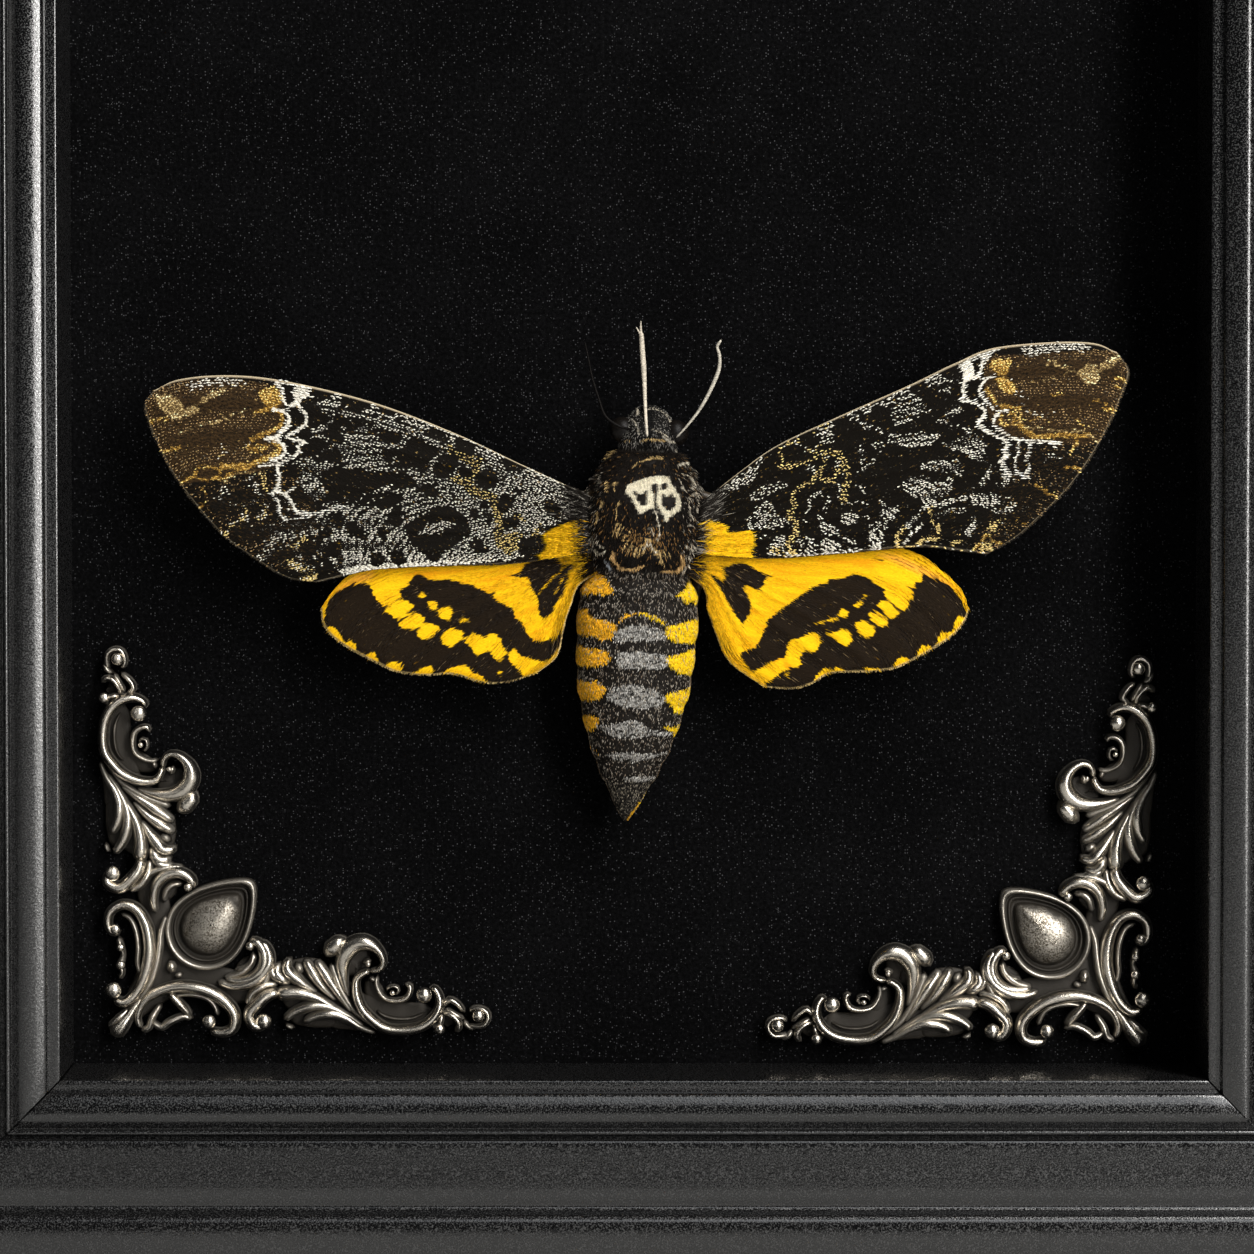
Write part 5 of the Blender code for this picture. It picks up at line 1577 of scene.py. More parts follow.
class Wing:
    """One wing: a fine sheet with raised veins and its drawn marks."""

    fringe_inset = 0.35
    cell = 0.21
    # Half the sheet's thickness, and how far its veins and its waves stand up.
    half_thick = 0.26
    vein_height = 0.2
    wave_height = 0.05

    def __init__(self, layout: Layout, name: str) -> None:
        """Lay out the wing's fine grid and read its marks there.

        Args:
            layout: places of the solids.
            name: the CAD node it stands for.
        """
        self.layout = layout
        self.name = name
        self.shape = WINGS[name]
        self.side = -1 if name.endswith("left") else 1
        self.fore = name.startswith("fore")
        self.pair = FORE if self.fore else HIND
        self.flat, self.u, self.v = self.coons(int(self.pair.depth / self.cell),
                                               int(self.pair.reach / self.cell))
        masks = self.masks = self.shape.marks.masks(self.flat.reshape(-1, 2))
        if self.fore:
            blank = np.zeros(self.u.size)
            masks["lace"] = np.maximum(masks["lace"] * (1 - masks.pop("cell")),
                                       masks.pop("isle", blank)) * (1 - masks["white"])

    def coons(self, rows: int, columns: int) -> tuple[Array, Array, Array]:
        """A grid of points inside the wing's four edges, a little in from the fringe.

        Args:
            rows: rows from the leading to the trailing edge.
            columns: points from root to tip.
        Returns:
            The points (rows, columns, 2) in mm, their u along and their v across.
        """
        root, front, side, rear = (drawn(text) for text in (
            self.shape.root, self.shape.leading, self.shape.outer, self.shape.trailing))
        leading = spaced(smooth_path(np.vstack([root[:1], front]), 8), columns)
        trailing = spaced(smooth_path(np.vstack([root[1:], rear]), 8), columns)
        outer = spaced(smooth_path(np.vstack([front[-1:], side, rear[-1:]]), 8), rows)
        start = spaced(root, rows)
        u, v = np.meshgrid(np.linspace(0, 1, columns), np.linspace(0, 1, rows))
        a, b = u[..., None], v[..., None]
        flat = (leading[None] * (1 - b) + trailing[None] * b + start[:, None] * (1 - a)
                + outer[:, None] * a)
        flat -= ((leading[0] * (1 - b) + trailing[0] * b) * (1 - a)
                 + (leading[-1] * (1 - b) + trailing[-1] * b) * a)
        pull = flat[rows // 2, columns // 2] - flat
        pull /= np.linalg.norm(pull, axis=-1, keepdims=True) + 1e-6
        edge = step(0.86, 1.0, u) + step(0.82, 1.0, v) * step(0.25, 0.5, u)
        flat += pull * np.clip(edge, 0, 1)[..., None] * self.fringe_inset
        return flat * np.array([self.side, 1]), u, v

    def height(self, u: Array, v: Array) -> Array:
        """The sheet's middle height over the velvet, in mm."""
        base, slope, bow = self.pair.lift
        return base + slope * u + bow * np.sin(np.pi * v) * u * (1.6 - u)

    def ridge(self) -> Array:
        """How far the veins stand up, in mm."""
        u, v = self.u, self.v
        veins = np.maximum.reduce([np.exp(-((v - place) * (11 + 14 * u) / 0.42) ** 2)
                                   for place in self.pair.veins])
        tall = self.vein_height * (1 - 0.6 * u)
        return tall * veins * (0.35 + 0.65 * step(0.02, 0.12, v))

    def world(self, flat: Array, height: Array) -> Array:
        """Specimen millimetres, x and z and a height over the velvet, to metres."""
        return self.layout.world(flat[..., 0], height, flat[..., 1])

    def unwrap(self) -> Array:
        """Places of the grid on the upper half of the sheet's own unwrap."""
        return (0.05 + 0.9 * np.stack([self.u, self.v], -1).reshape(-1, 2)) * (1, 0.49)

    def solid(self) -> tuple[Array, Array]:
        """The closed sheet.

        Returns:
            Points in metres, the upper side's first, and quads.
        """
        u, v = self.u, self.v
        rim = np.minimum(np.minimum(v, 1 - v) * 14, (1 - u) * 40)
        thick = self.half_thick * np.clip(0.35 + 0.65 * rim, 0.35, 1)
        wave = self.wave_height * np.sin(v * 47 + 3 * u) * step(0.3, 0.9, u)
        middle = self.height(u, v)
        upper = self.world(self.flat, middle + thick + self.ridge() + wave)
        lower = self.world(self.flat, middle - thick + wave)
        top = grid_faces(*u.shape)
        index = np.arange(u.size).reshape(u.shape)
        ring = np.concatenate([index[0], index[1:, -1], index[-1, -2::-1], index[-2:0:-1, 0]])
        after = np.roll(ring, -1)
        wall = np.stack([after, ring, ring + u.size, after + u.size], 1)
        quads = np.vstack([top, (top + u.size)[:, ::-1], wall])
        return np.vstack([upper.reshape(-1, 3), lower.reshape(-1, 3)]), quads[:, ::-self.side]

    def build(self) -> None:
        """Make the sheet and write its marks, the same on both sides."""
        u, v, pair = self.u, self.v, self.pair
        material = WingScales(pair.word.capitalize() + " scales", self.fore).build()
        obj = make_mesh(self.name + "_sheet", *self.solid(), material)
        for word, values in self.masks.items():
            set_values(obj, word, np.tile(values, 2))
        flow = np.stack([u * pair.flow, v * (8.0 + 12.0 * u), 0 * u], -1).reshape(-1, 3)
        made = obj.data.attributes.new("flow", "FLOAT_VECTOR", "POINT")
        made.data.foreach_set("vector", np.tile(flow, (2, 1)).astype(np.float32).ravel())
        away = np.minimum((1 - u) * pair.flow, (1 - v) * 18 + 9 * (u < 0.3))
        edge = np.maximum(pair.rim * (1 - step(0.03, 0.14, away)),
                          (1 - step(0.05, 0.2, v * 18)) * self.fore)
        set_values(obj, "rim", np.tile(edge.ravel(), 2))
        set_map(obj, np.vstack([self.unwrap(), self.unwrap() + (0, 0.5)]))
        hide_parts(self.name)
        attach(obj, "root")
        log.info("%s: %d points", self.name, 2 * u.size)


@dataclass
class Studio:
    """The pale floor, the camera and the soft lights."""

    layout: Layout

    def floor(self) -> None:
        """A wide plain floor under the box."""
        half = 1.2
        points = [(-half, -half, 0), (half, -half, 0), (half, half, 0), (-half, half, 0)]
        material, graph, shader = start_material("Pale floor")
        graph.feed(shader, {"Base Color": (0.62, 0.62, 0.61), "Roughness": 0.8})
        make_mesh("floor", points, [(0, 1, 2, 3)], material)

    def stand(self, name: str, data: object, place: Vector, aim: Vector) -> bpy.types.Object:
        """Stand a camera or a light where it faces a point.

        Args:
            name: its name.
            data: the camera or the light.
            place: where it stands, in metres.
            aim: the point it faces, in metres.
        Returns:
            The object.
        """
        obj = bpy.data.objects.new(name, data)
        bpy.context.scene.collection.objects.link(obj)
        obj.location = place
        obj.rotation_euler = (aim - obj.location).to_track_quat("-Z", "Y").to_euler()
        return obj

    def camera(self) -> None:
        """The photograph's view: close to the box, a little from above."""
        data = bpy.data.cameras.new("view")
        data.lens = 182.0
        data.sensor_width = 36.0
        data.clip_start = 0.01
        bpy.context.scene.camera = self.stand("view", data, Vector((-0.8, -710.0, 101.5)) * MM,
                                              Vector((-0.8, -11.0, 72.2)) * MM)

    def light(self, name: str, place: Vector, size: Pair, power: float, colour: Colour) -> None:
        """An area light that faces the moth.

        Args:
            name: the light's name.
            place: where it stands, in metres.
            size: its width and height, in metres.
            power: watts.
            colour: its colour.
        """
        data = bpy.data.lights.new(name, "AREA")
        data.shape = "RECTANGLE"
        data.size, data.size_y = size
        data.energy = power
        data.color = colour
        self.stand(name, data, place, Vector((0, 0, 80 * MM)))

    def build(self) -> None:
        """Set the whole studio."""
        self.floor()
        self.camera()
        self.light("key", Vector((0.5, -0.8, 0.63)), (0.2, 1.42), 22.5, (1.0, 0.98, 0.95))
        self.light("fill", Vector((0.3, -1.2, 0.85)), (0.7, 0.4), 2.4, (0.94, 0.97, 1.0))
        self.light("top", Vector((0.45, -0.3, 1.1)), (0.5, 0.3), 1.3, (1.0, 1.0, 1.0))
        world = bpy.data.worlds.new("soft room")
        world.use_nodes = True
        background = world.node_tree.nodes["Background"].inputs
        background["Color"].default_value = (0.5, 0.52, 0.55, 1)
        background["Strength"].default_value = 0.045
        bpy.context.scene.world = world


@dataclass(frozen=True)
class Hair:
    """Hair and scales whose colour is written on the mesh, with a soft gloss."""

    name: str
    roughness: float = 0.62

    def build(self) -> bpy.types.Material:
        """Make the finish.

        Returns:
            The material.
        """
        material, graph, shader = start_material(self.name)
        fine = graph.span(graph.noise(graph.place(), 5000.0, 2.0, 0.6), 0.3, 0.7)
        shade = graph.mix(fine, (0.78, 0.78, 0.78), (1.2, 1.2, 1.2))
        graph.feed(shader, {
            "Base Color": graph.mix(1.0, graph.attribute("tint", "Color"), shade, "MULTIPLY"),
            "Roughness": self.roughness, "Specular IOR Level": 0.14})
        return material


@dataclass
class Tufts:
    """Many tapered, closed slivers of hair gathered into pieces of a bounded size."""

    name: str
    material: bpy.types.Material
    slot: str
    limit: int = 19000
    # Half the size of a tuft's patch on the unwrap.
    patch: float = 0.0015
    pale_tip: float = 0.25
    dark_root: float = 0.3
    # A root's depth in the skin and its thickness, in half widths.
    sink: float = 1.5
    thick: float = 0.7
    # The middle's width as a share of the root's, and its stand as a share of the tip's.
    waist: float = 0.8
    bow: float = 0.78

    def __post_init__(self) -> None:
        """Start the lists."""
        self.points, self.tones, self.places = [], [], []

    def add(self, roots: Array, lie: Array, out: Array, length: Array, width: Array,
            lift: Array, tones: Array, places: Array) -> None:
        """Add tufts.

        Args:
            roots: rows of root points in metres.
            lie: unit directions the tufts lie along.
            out: unit directions away from the skin.
            length: each tuft's length in metres.
            width: each tuft's half width in metres.
            lift: how far its tip stands off, as a share of its length.
            tones: one colour for each tuft.
            places: its root's place on the skin's unwrap.
        """
        across = unit(np.cross(lie, out))
        length, width, lift = (np.asarray(v)[:, None] for v in (length, width, lift))
        middle = roots + lie * length * 0.5 + out * length * lift * self.bow
        tip = roots + lie * length + out * length * lift
        sunk = roots - out * width * self.sink
        low, high = across * width, out * width * self.thick
        self.points.append(np.stack([
            sunk - low, sunk + low, sunk + high,
            middle - low * self.waist, middle + low * self.waist, middle + high * self.waist,
            tip], 1))
        dark, light = tones * (1 - self.dark_root), tones * (1 + self.pale_tip)
        self.tones.append(np.stack([dark] * 3 + [tones] * 3 + [light], 1))
        corner = np.array([(-1, -1), (1, -1), (0, -1), (-1, 0.3), (1, 0.3), (0, 0.3), (0, 1)])
        self.places.append(places[:, None] + corner[None] * self.patch)

    def build(self) -> None:
        """Turn what was gathered into pieces."""
        points, tones, places = (np.concatenate(v) for v in (self.points, self.tones,
                                                            self.places))
        faces = np.array([(0, 1, 4), (0, 4, 3), (1, 2, 5), (1, 5, 4), (2, 0, 3), (2, 3, 5),
                          (3, 4, 6), (4, 5, 6), (5, 3, 6), (0, 2, 1)])
        total = len(points)
        parts = max(1, math.ceil(total / self.limit))
        for at in range(parts):
            chosen = slice(at * total // parts, (at + 1) * total // parts)
            some = points[chosen]
            tris = (faces + 7 * np.arange(len(some))[:, None, None]).reshape(-1, 3)
            name = self.name if parts == 1 else f"{self.name}_{at + 1}"
            obj = make_mesh(name, some.reshape(-1, 3), tris, self.material)
            set_tint(obj, tones[chosen].reshape(-1, 3))
            set_map(obj, places[chosen].reshape(-1, 2))
            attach(obj, "root")
        log.info("%s: %d tufts", self.name, total)


# The mark of a skull and its holes, drawn on the thorax's sheet.
THORAX_SHEET = Sheet(-7.713, 12.855, 0.013549)
SKULL = """
440,705 500,680 560,660 630,640 700,634 770,645 792,690 822,750 862,800 874,850 866,900 840,932
800,955 776,975 766,1012 745,1000 730,965 705,920 690,905 650,905 610,905 580,922 540,942 514,910
488,860 456,805 426,778 420,750
"""
SKULL_HOLES = """
488,765 512,770 540,788 562,775 586,757 592,800 587,850 560,868 534,850 510,812
636,726 660,716 684,735 682,765 668,800 672,850 690,900 640,925 655,870 645,800
700,712 745,698 764,718 732,746 706,740
720,812 734,786 762,812 794,786 816,838 810,880 776,905 740,890 722,852
"""
THORAX_MARKS = Marks(THORAX_SHEET, 0.07, """
gold
0.22 0.55 480,556 540,520 552,516
0.22 0.62 578,508 650,490 722,492
0.24 0.5 540,356 600,332 700,346 742,352
0.22 0.5 405,352 462,338
0.18 0.9 270,690 264,765
0.14 0.8 330,690 324,752
0.2 0.9 230,845 216,892
0.18 0.9 190,935 185,1005
0.16 0.8 372,840 342,900 346,965
0.16 0.8 312,1114 350,1024
0.14 0.8 345,1112 378,1030
0.14 0.8 378,1110 404,1052
0.25 0.6 240,520 300,470 350,432
0.14 0.85 398,1238 436,1160
0.15 0.9 436,1272 476,1180
0.16 0.95 478,1292 516,1206
0.16 0.95 520,1292 548,1196
0.18 1 556,1276 584,1150
0.18 1 640,1246 616,1150
0.16 0.95 676,1292 652,1190
0.15 0.9 708,1330 690,1246
0.14 0.85 744,1306 726,1244
0.13 0.8 780,1300 764,1262
0.13 0.7 384,1180 420,1110
0.12 0.7 430,1140 456,1080
0.14 0.8 740,1364 716,1316
pale
0.15 0.95 720,312 780,356 842,356 890,372 910,412
0.32 1 832,430 882,468
0.2 1 850,546 902,540 950,552
0.14 0.7 905,470 952,552
0.12 0.75 830,620 872,700 902,762
0.12 0.7 880,630 932,640 966,700 948,742
0.14 0.7 975,600 1022,700 1062,842
0.12 0.7 960,792 992,780 1002,850 988,932
0.12 0.7 942,800 930,900 952,962 930,1052
0.14 0.6 1040,872 1072,982
0.15 0.8 905,1208 950,1232 962,1272
0.14 0.8 950,1196 1002,1240
0.14 0.8 990,1170 1040,1204
0.13 0.8 1016,1128 1064,1142
0.13 0.7 896,1284 942,1304
0.14 0.6 140,540 152,600 202,642 212,692
0.24 0.8 130,702 122,832 100,884
0.16 0.8 136,1166 160,1236 206,1276 252,1252
0.13 0.8 196,1196 240,1228
0.13 0.8 146,1150 200,1176
0.13 0.9 650,900 672,962 692,1052 702,1112
0.13 0.9 612,1042 642,1100 682,1156
0.16 0.9 600,1130 592,1190 562,1236
0.16 0.9 622,1172 642,1232 670,1262
0.22 0.9 480,62 512,92 516,132
0.1 0.8 470,172 512,232 524,290
0.14 0.6 590,92 662,90 742,130 802,222
0.14 0.6 640,252 722,290 802,352
0.26 0.8 700,1502 782,1486 852,1472 882,1432
0.2 0.7 932,1372 882,1422
0.14 0.8 600,1420 612,1470
0.14 0.8 640,1424 660,1490
0.13 0.7 690,1500 702,1540
crescent
0.3 1 310,1270 330,1340 382,1396 442,1406 502,1400 562,1374
0.26 1 872,1290 886,1352 852,1402 792,1422 722,1422
frost
0.22 1 255,1320 290,1392 332,1442 372,1468
""")
ABDOMEN_MARKS = Marks(Sheet(-9.39, -5.03, 0.019961), 0.42, """
yellow
0 1 95,60 190,5 200,60 250,110 302,175 262,195 200,195 110,182 88,140
0 1 100,290 150,278 162,310 230,340 302,352 312,392 290,442 250,452 200,430 130,426 60,412
0 1 60,455 130,490 180,500 240,510 282,545 250,590 180,596 60,590
0 1 60,660 150,690 200,680 257,725 230,772 180,790 60,780
0 1 60,870 150,880 205,885 212,922 170,962 60,962
0.2 0.6 165,1060 215,1085
0 1 830,40 830,235 740,240 700,252 690,215 648,200 700,170 740,80
0 1 830,330 780,340 720,345 650,365 598,370 595,420 622,450 690,470 830,450
0 1 830,500 765,502 680,530 618,535 592,552 620,600 680,640 750,656 830,600
0 1 830,710 745,712 700,735 640,745 582,770 612,812 660,860 710,852 830,820
0 1 780,925 690,932 640,945 588,940 630,982 660,1012 760,1000
0.22 0.9 652,1060 622,1120 582,1200 532,1272 440,1392 380,1470
0.26 0.95 330,342 370,316 420,300 470,300 530,326 592,360
grey
0 0.75 300,402 380,365 460,365 560,385 592,420 570,462 450,452 310,462
0 1 320,520 400,514 500,524 592,545 592,602 500,612 400,606 328,590
0 1 298,722 380,700 470,710 540,740 592,782 540,822 430,832 310,802 258,760
0 0.95 208,932 330,920 400,900 460,920 520,960 622,975 602,992 500,986 400,1002 300,990
0 0.85 258,1100 380,1080 480,1090 602,1090 480,1122 440,1142 300,1116
0 0.8 348,1225 520,1220 500,1252 380,1252
frost
0.3 0.55 330,182 420,170 540,190 642,185
0.4 0.4 240,242 340,272 420,302
0.4 0.35 560,282 702,280
0.3 0.2 300,500 700,505
""")
# Stations from head to tail: place on the axis, half width, height above and below the
# middle, and the middle's height over the velvet.
BODY_SECTIONS = """
12.15 .3 .3 .3 6 | 12.05 .9 .8 .9 6 | 11.6 1.8 1.7 1.9 6.2 | 10.8 2.6 2.5 2.6 6.4
| 9.8 3.3 3 2.9 6.6 | 8.6 3.7 3.3 3 6.7 | 7.6 3.6 3.1 2.8 6.7 | 6.9 3.9 3.4 3 6.6
| 6.2 4.5 4.1 3.7 6.5 | 4.4 5.6 5.3 4.7 6.4 | 2.2 6.5 6 5.6 6.4 | -1 6.8 6.3 6.2 6.4
| -3.9 6.4 6 5.7 6.4 | -5.6 5.8 5.4 5.1 6.3 | -7 5.7 4.9 4.9 6.25 | -8.8 6.6 5.6 5.5 6.2
| -11.8 6.9 5.95 5.7 6.2 | -16.8 6.7 5.8 5.6 6.1 | -19.9 6.35 5.5 5.4 6.03
| -22.9 5.65 4.9 4.85 5.94 | -25.9 4.75 4.1 4.1 5.83 | -28.9 3.5 3 3 5.7
| -31.9 1.9 1.65 1.65 5.5 | -33.6 .95 .8 .8 5.4 | -34.7 .3 .28 .28 5.3
"""
# Places on the axis where the abdomen's rings meet.
RINGS = (-6.9, -9.8, -14.0, -17.7, -21.3, -24.9, -27.8, -30.3, -34.8)
# How deep the skin lies under the coat's surface: place on the axis, depth.
SKIN_DEPTH = "-34.7,.08 -28,.18 -8,.22 -5,.25 0,.35 5,.45 6.8,.4 9,.4 12.1,.2"


def tone(*colour: float) -> Array:
    """A colour that can be scaled by a column of numbers."""
    return np.array(colour)


class Body:
    """Head, thorax and abdomen under one skin, with the coat that lies over it."""

    lean = math.radians(3.4)
    turns = 96
    rows = 360
    seed = 29

    def __init__(self, layout: Layout) -> None:
        """Read the section tables.

        Args:
            layout: places of the solids.
        """
        self.layout = layout
        self.rng = np.random.default_rng(self.seed)
        stations = [numbers(part) for part in BODY_SECTIONS.split("|")]
        self.table = smooth_path(stations, 6)[::-1]
        self.skull = THORAX_SHEET.points(SKULL)
        holes = [THORAX_SHEET.points(hole) for hole in lines(SKULL_HOLES)]
        self.holes = [hole.mean(0) + (hole - hole.mean(0)) * 1.22 for hole in holes]

    def surface(self, along: Array, angle: Array) -> Array:
        """Points on the skin, in the body's own mm.

        Args:
            along: place on the axis, positive to the head.
            angle: turn about the axis; a quarter turn faces the viewer.
        Returns:
            Rows of (across, height, along).
        """
        half, above, below, middle = (np.interp(along, self.table[:, 0], self.table[:, k])
                                      for k in range(1, 5))
        ring = np.zeros_like(along)
        for start, end in zip(RINGS, RINGS[1:]):
            part = np.clip((start - along) / (start - end), 0, 1)
            on = (along <= start) & (along > end)
            ring = np.where(on, 0.2 * np.sin(np.pi * part ** 1.6) - 0.1, ring)
        c, s = np.cos(angle), np.sin(angle)
        across, top = half * c, np.clip(s, 0, 1)

        def twin(side: float, place: float, length: float) -> Array:
            """Two swellings, one on each side of the middle."""
            return sum(np.exp(-((across - at) / 1.5) ** 2 - ((along - place) / length) ** 2)
                       for at in (-side, side)) * top

        pads = 0.75 * twin(4.3, 2.4, 3.0)
        tails = 0.55 * twin(2.2, -4.9, 0.8)
        cleft = -0.35 * np.exp(-(across / 0.55) ** 2) * step(9.2, 10.6, along) * top
        neck = -0.35 * np.exp(-((along - 6.95) / 0.45) ** 2)
        collar = 0.3 * np.exp(-((along - 5.9) / 0.5) ** 2) * top
        depth = np.interp(along, *drawn(SKIN_DEPTH).T)
        extra = pads + cleft + neck + collar + tails + ring - depth
        reach = np.where(s > 0, above, below)
        return np.stack([(half + extra).clip(0.12) * c,
                         middle + (reach + extra).clip(0.12) * s, along], -1)

    def place(self, local: Array) -> Array:
        """Body millimetres to specimen millimetres (x, height, z)."""
        c, s = math.cos(self.lean), math.sin(self.lean)
        x, h, z = local[..., 0], local[..., 1], local[..., 2]
        return np.stack([x * c + z * s, h, z * c - x * s], -1)

    def world(self, local: Array) -> Array:
        """Body millimetres to the scene's metres."""
        return self.layout.world(*np.moveaxis(self.place(local), -1, 0))

    def tones(self, local: Array, angle: Array, grain: Array) -> Array:
        """The marking's colour at places on the body.

        Args:
            local: rows of (across, height, along).
            angle: turn about the axis.
            grain: one random number in 0 to 1 for each place.
        Returns:
            Rows of linear colours.
        """
        flat = self.place(local)[:, [0, 2]]
        along, g = local[:, 2:], grain[:, None]
        seen = step(-0.15, 0.25, np.sin(angle))[:, None]
        found = tone(0.008, 0.0056, 0.0038) * (0.4 + 1.2 * g)
        golden = tone(0.4, 0.22, 0.07)
        coat = (along < 6.6) & (along > -6.2)
        flanks = step(3.4, 5.0, np.abs(local[:, :1] + 0.2)) * coat
        found = np.where(g > 1 - 0.08 * flanks, tone(0.42, 0.38, 0.31) * (0.5 + 0.6 * g), found)
        middle = np.exp(-((flat[:, :1] - 0.3) / 2.4) ** 2 - ((flat[:, 1:] + 2.9) / 1.4) ** 2)
        found = np.where(g > 1 - 0.42 * middle, golden * (0.3 + 0.6 * g), found)
        found = np.where((g > 0.965) & coat, golden * 0.6, found)
        head = step(6.8, 7.6, along)
        frosty = np.where(g > 0.8, tone(0.42, 0.4, 0.36) * (g * 3.4 - 2.4),
                          tone(0.007, 0.006, 0.005))
        found = found * (1 - head) + frosty * head
        seam = np.exp(-(local[:, :1] / 0.5) ** 2) * head * (along < 11.5)
        found = found * (1 - 0.9 * seam)
        jitter = (grain[::-1, None] - 0.5) * 0.9
        marks = THORAX_MARKS.masks(flat)
        for word, colour in (("gold", tone(0.62, 0.43, 0.18)), ("pale", tone(0.66, 0.59, 0.46)),
                             ("crescent", tone(0.8, 0.5, 0.2)), ("frost", tone(0.36, 0.39, 0.43))):
            hit = ((marks[word][:, None] * 1.1 + jitter) > 0.55) & (seen > 0.5)
            found = np.where(hit, colour * (0.7 + 0.5 * g), found)
        abdomen = step(-6.0, -6.8, along)
        found = found * (1 - abdomen) + self.bands(flat, g, seen) * abdomen
        skull = shape_mask(flat, self.skull, 0.06)
        for hole in self.holes:
            skull *= 1 - shape_mask(flat, hole, 0.05)
        hit = (skull[:, None] > 0.5) & (seen > 0.5)
        return np.where(hit, tone(0.8, 0.73, 0.55) * (0.85 + 0.25 * g), found)

    @staticmethod
    def bands(flat: Array, g: Array, seen: Array) -> Array:
        """The abdomen's colours: yellow patches, grey saddles and dark rings, with painted shade on the
        left half's yellow.

        Args:
            flat: rows of x, z in mm.
            g: one random number for each place, as a column.
            seen: 1 on the upper side, 0 below.
        Returns:
            Rows of linear colours.
        """
        masks = ABDOMEN_MARKS.masks(flat)
        wobble = (g - 0.5) * 0.85
        rim, saddle, frosted = (masks[word][:, None] + wobble * more > 0.5
                                for word, more in (("yellow", 1), ("grey", 1), ("frost", 1.6)))
        found = np.where(g > 0.8, tone(0.15, 0.115, 0.082), tone(0.0125, 0.0095, 0.0068))
        found = found * (0.5 + 0.8 * g)
        # Left of the middle the yellow is darker and more orange: painted shade on the side away from
        # the light.
        shaded_left_yellow = np.where(g > 0.12, tone(1.0, 0.5, 0.02), tone(0.3, 0.14, 0.02))
        yellow = np.where(flat[:, :1] < -0.6, shaded_left_yellow * (0.85 + 0.25 * g),
                          tone(1.0, 0.64, 0.01) * (0.94 + 0.1 * g))
        found = np.where(rim, yellow, found)
        dusty = np.where(g > 0.4, tone(0.84, 0.81, 0.75) * (g * 1.3 - 0.25), found)
        found = np.where(saddle, dusty, found)
        found = np.where(frosted, tone(0.26, 0.23, 0.19) * (0.5 + 0.8 * g), found)
        tail = step(-29.7, -30.3, flat[:, 1:])
        mottle = np.where(g > 0.6, tone(0.34, 0.3, 0.23) * (g * 1.8 - 0.9), found * 0.7)
        found = np.where(rim, found, found * (1 - tail) + mottle * tail)
        return found * seen + tone(0.19, 0.12, 0.055) * (0.6 + 0.7 * g) * (1 - seen)

    def unwrap(self, along: Array, turn: Array) -> Array:
        """Places on the skin's own unwrap."""
        return np.stack([0.02 + 0.96 * turn / (2 * np.pi),
                         0.02 + 0.96 * (along + 34.8) / 47.0], -1)

    def skin(self) -> None:
        """The one closed skin of head, thorax and abdomen."""
        ends = ([0, 0.06, 0.94, 1], [12.15, 11.2, -33.0, -34.7])
        along = np.interp(np.linspace(0, 1, self.rows), *ends)
        around = np.linspace(0, 2 * np.pi, self.turns + 1)
        along, angle = (v.ravel() for v in np.meshgrid(along, around, indexing="ij"))
        local = self.surface(along, angle)
        grain = self.rng.random(len(local))
        obj = make_mesh("moth_skin", self.world(local), grid_faces(self.rows, self.turns + 1),
                        Hair("Skin under the coat", 0.7).build())
        set_tint(obj, self.tones(local, angle, 0.25 + 0.4 * grain) * 0.75)
        set_map(obj, self.unwrap(along, angle))

        def close(bm: bmesh.types.BMesh) -> None:
            """Sew the seam and fill both ends."""
            bmesh.ops.remove_doubles(bm, verts=bm.verts, dist=1e-7)
            edges = [edge for edge in bm.edges if edge.is_boundary]
            bmesh.ops.holes_fill(bm, edges=edges, sides=0)

        rework(obj, close)
        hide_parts("thorax", "head", "abdomen")
        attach(obj, "root")

    def scatter(self, count: int, low: float, high: float) -> tuple[Array, Array]:
        """Random places on the skin, even over its area.

        Args:
            count: how many.
            low: lowest place on the axis.
            high: highest place on the axis.
        Returns:
            Places along the axis and angles.
        """
        along = self.rng.uniform(low, high, count * 3)
        width = np.interp(along, self.table[:, 0], self.table[:, 1])
        kept = along[self.rng.random(len(along)) * 7.0 < width][:count]
        return kept, self.rng.uniform(0, 2 * np.pi, len(kept))

    def frames(self, along: Array, angle: Array) -> tuple[Array, Array, Array, Array]:
        """Roots and directions on the skin, in the scene's axes.

        Args:
            along: places on the axis.
            angle: angles about it.
        Returns:
            Roots, then unit vectors that point outward, to the tail and round the body.
        """
        root = self.world(self.surface(along, angle))
        back = unit(self.world(self.surface(along - 0.12, angle)) - root)
        turn = unit(self.world(self.surface(along, angle + 0.02)) - root)
        out = unit(np.cross(turn, back))
        centre = self.world(np.stack([0 * along, 0 * along + 6.2, along], -1))
        flip = np.sign(np.einsum("ij,ij->i", out, root - centre))[:, None]
        return root, out * flip, back, turn

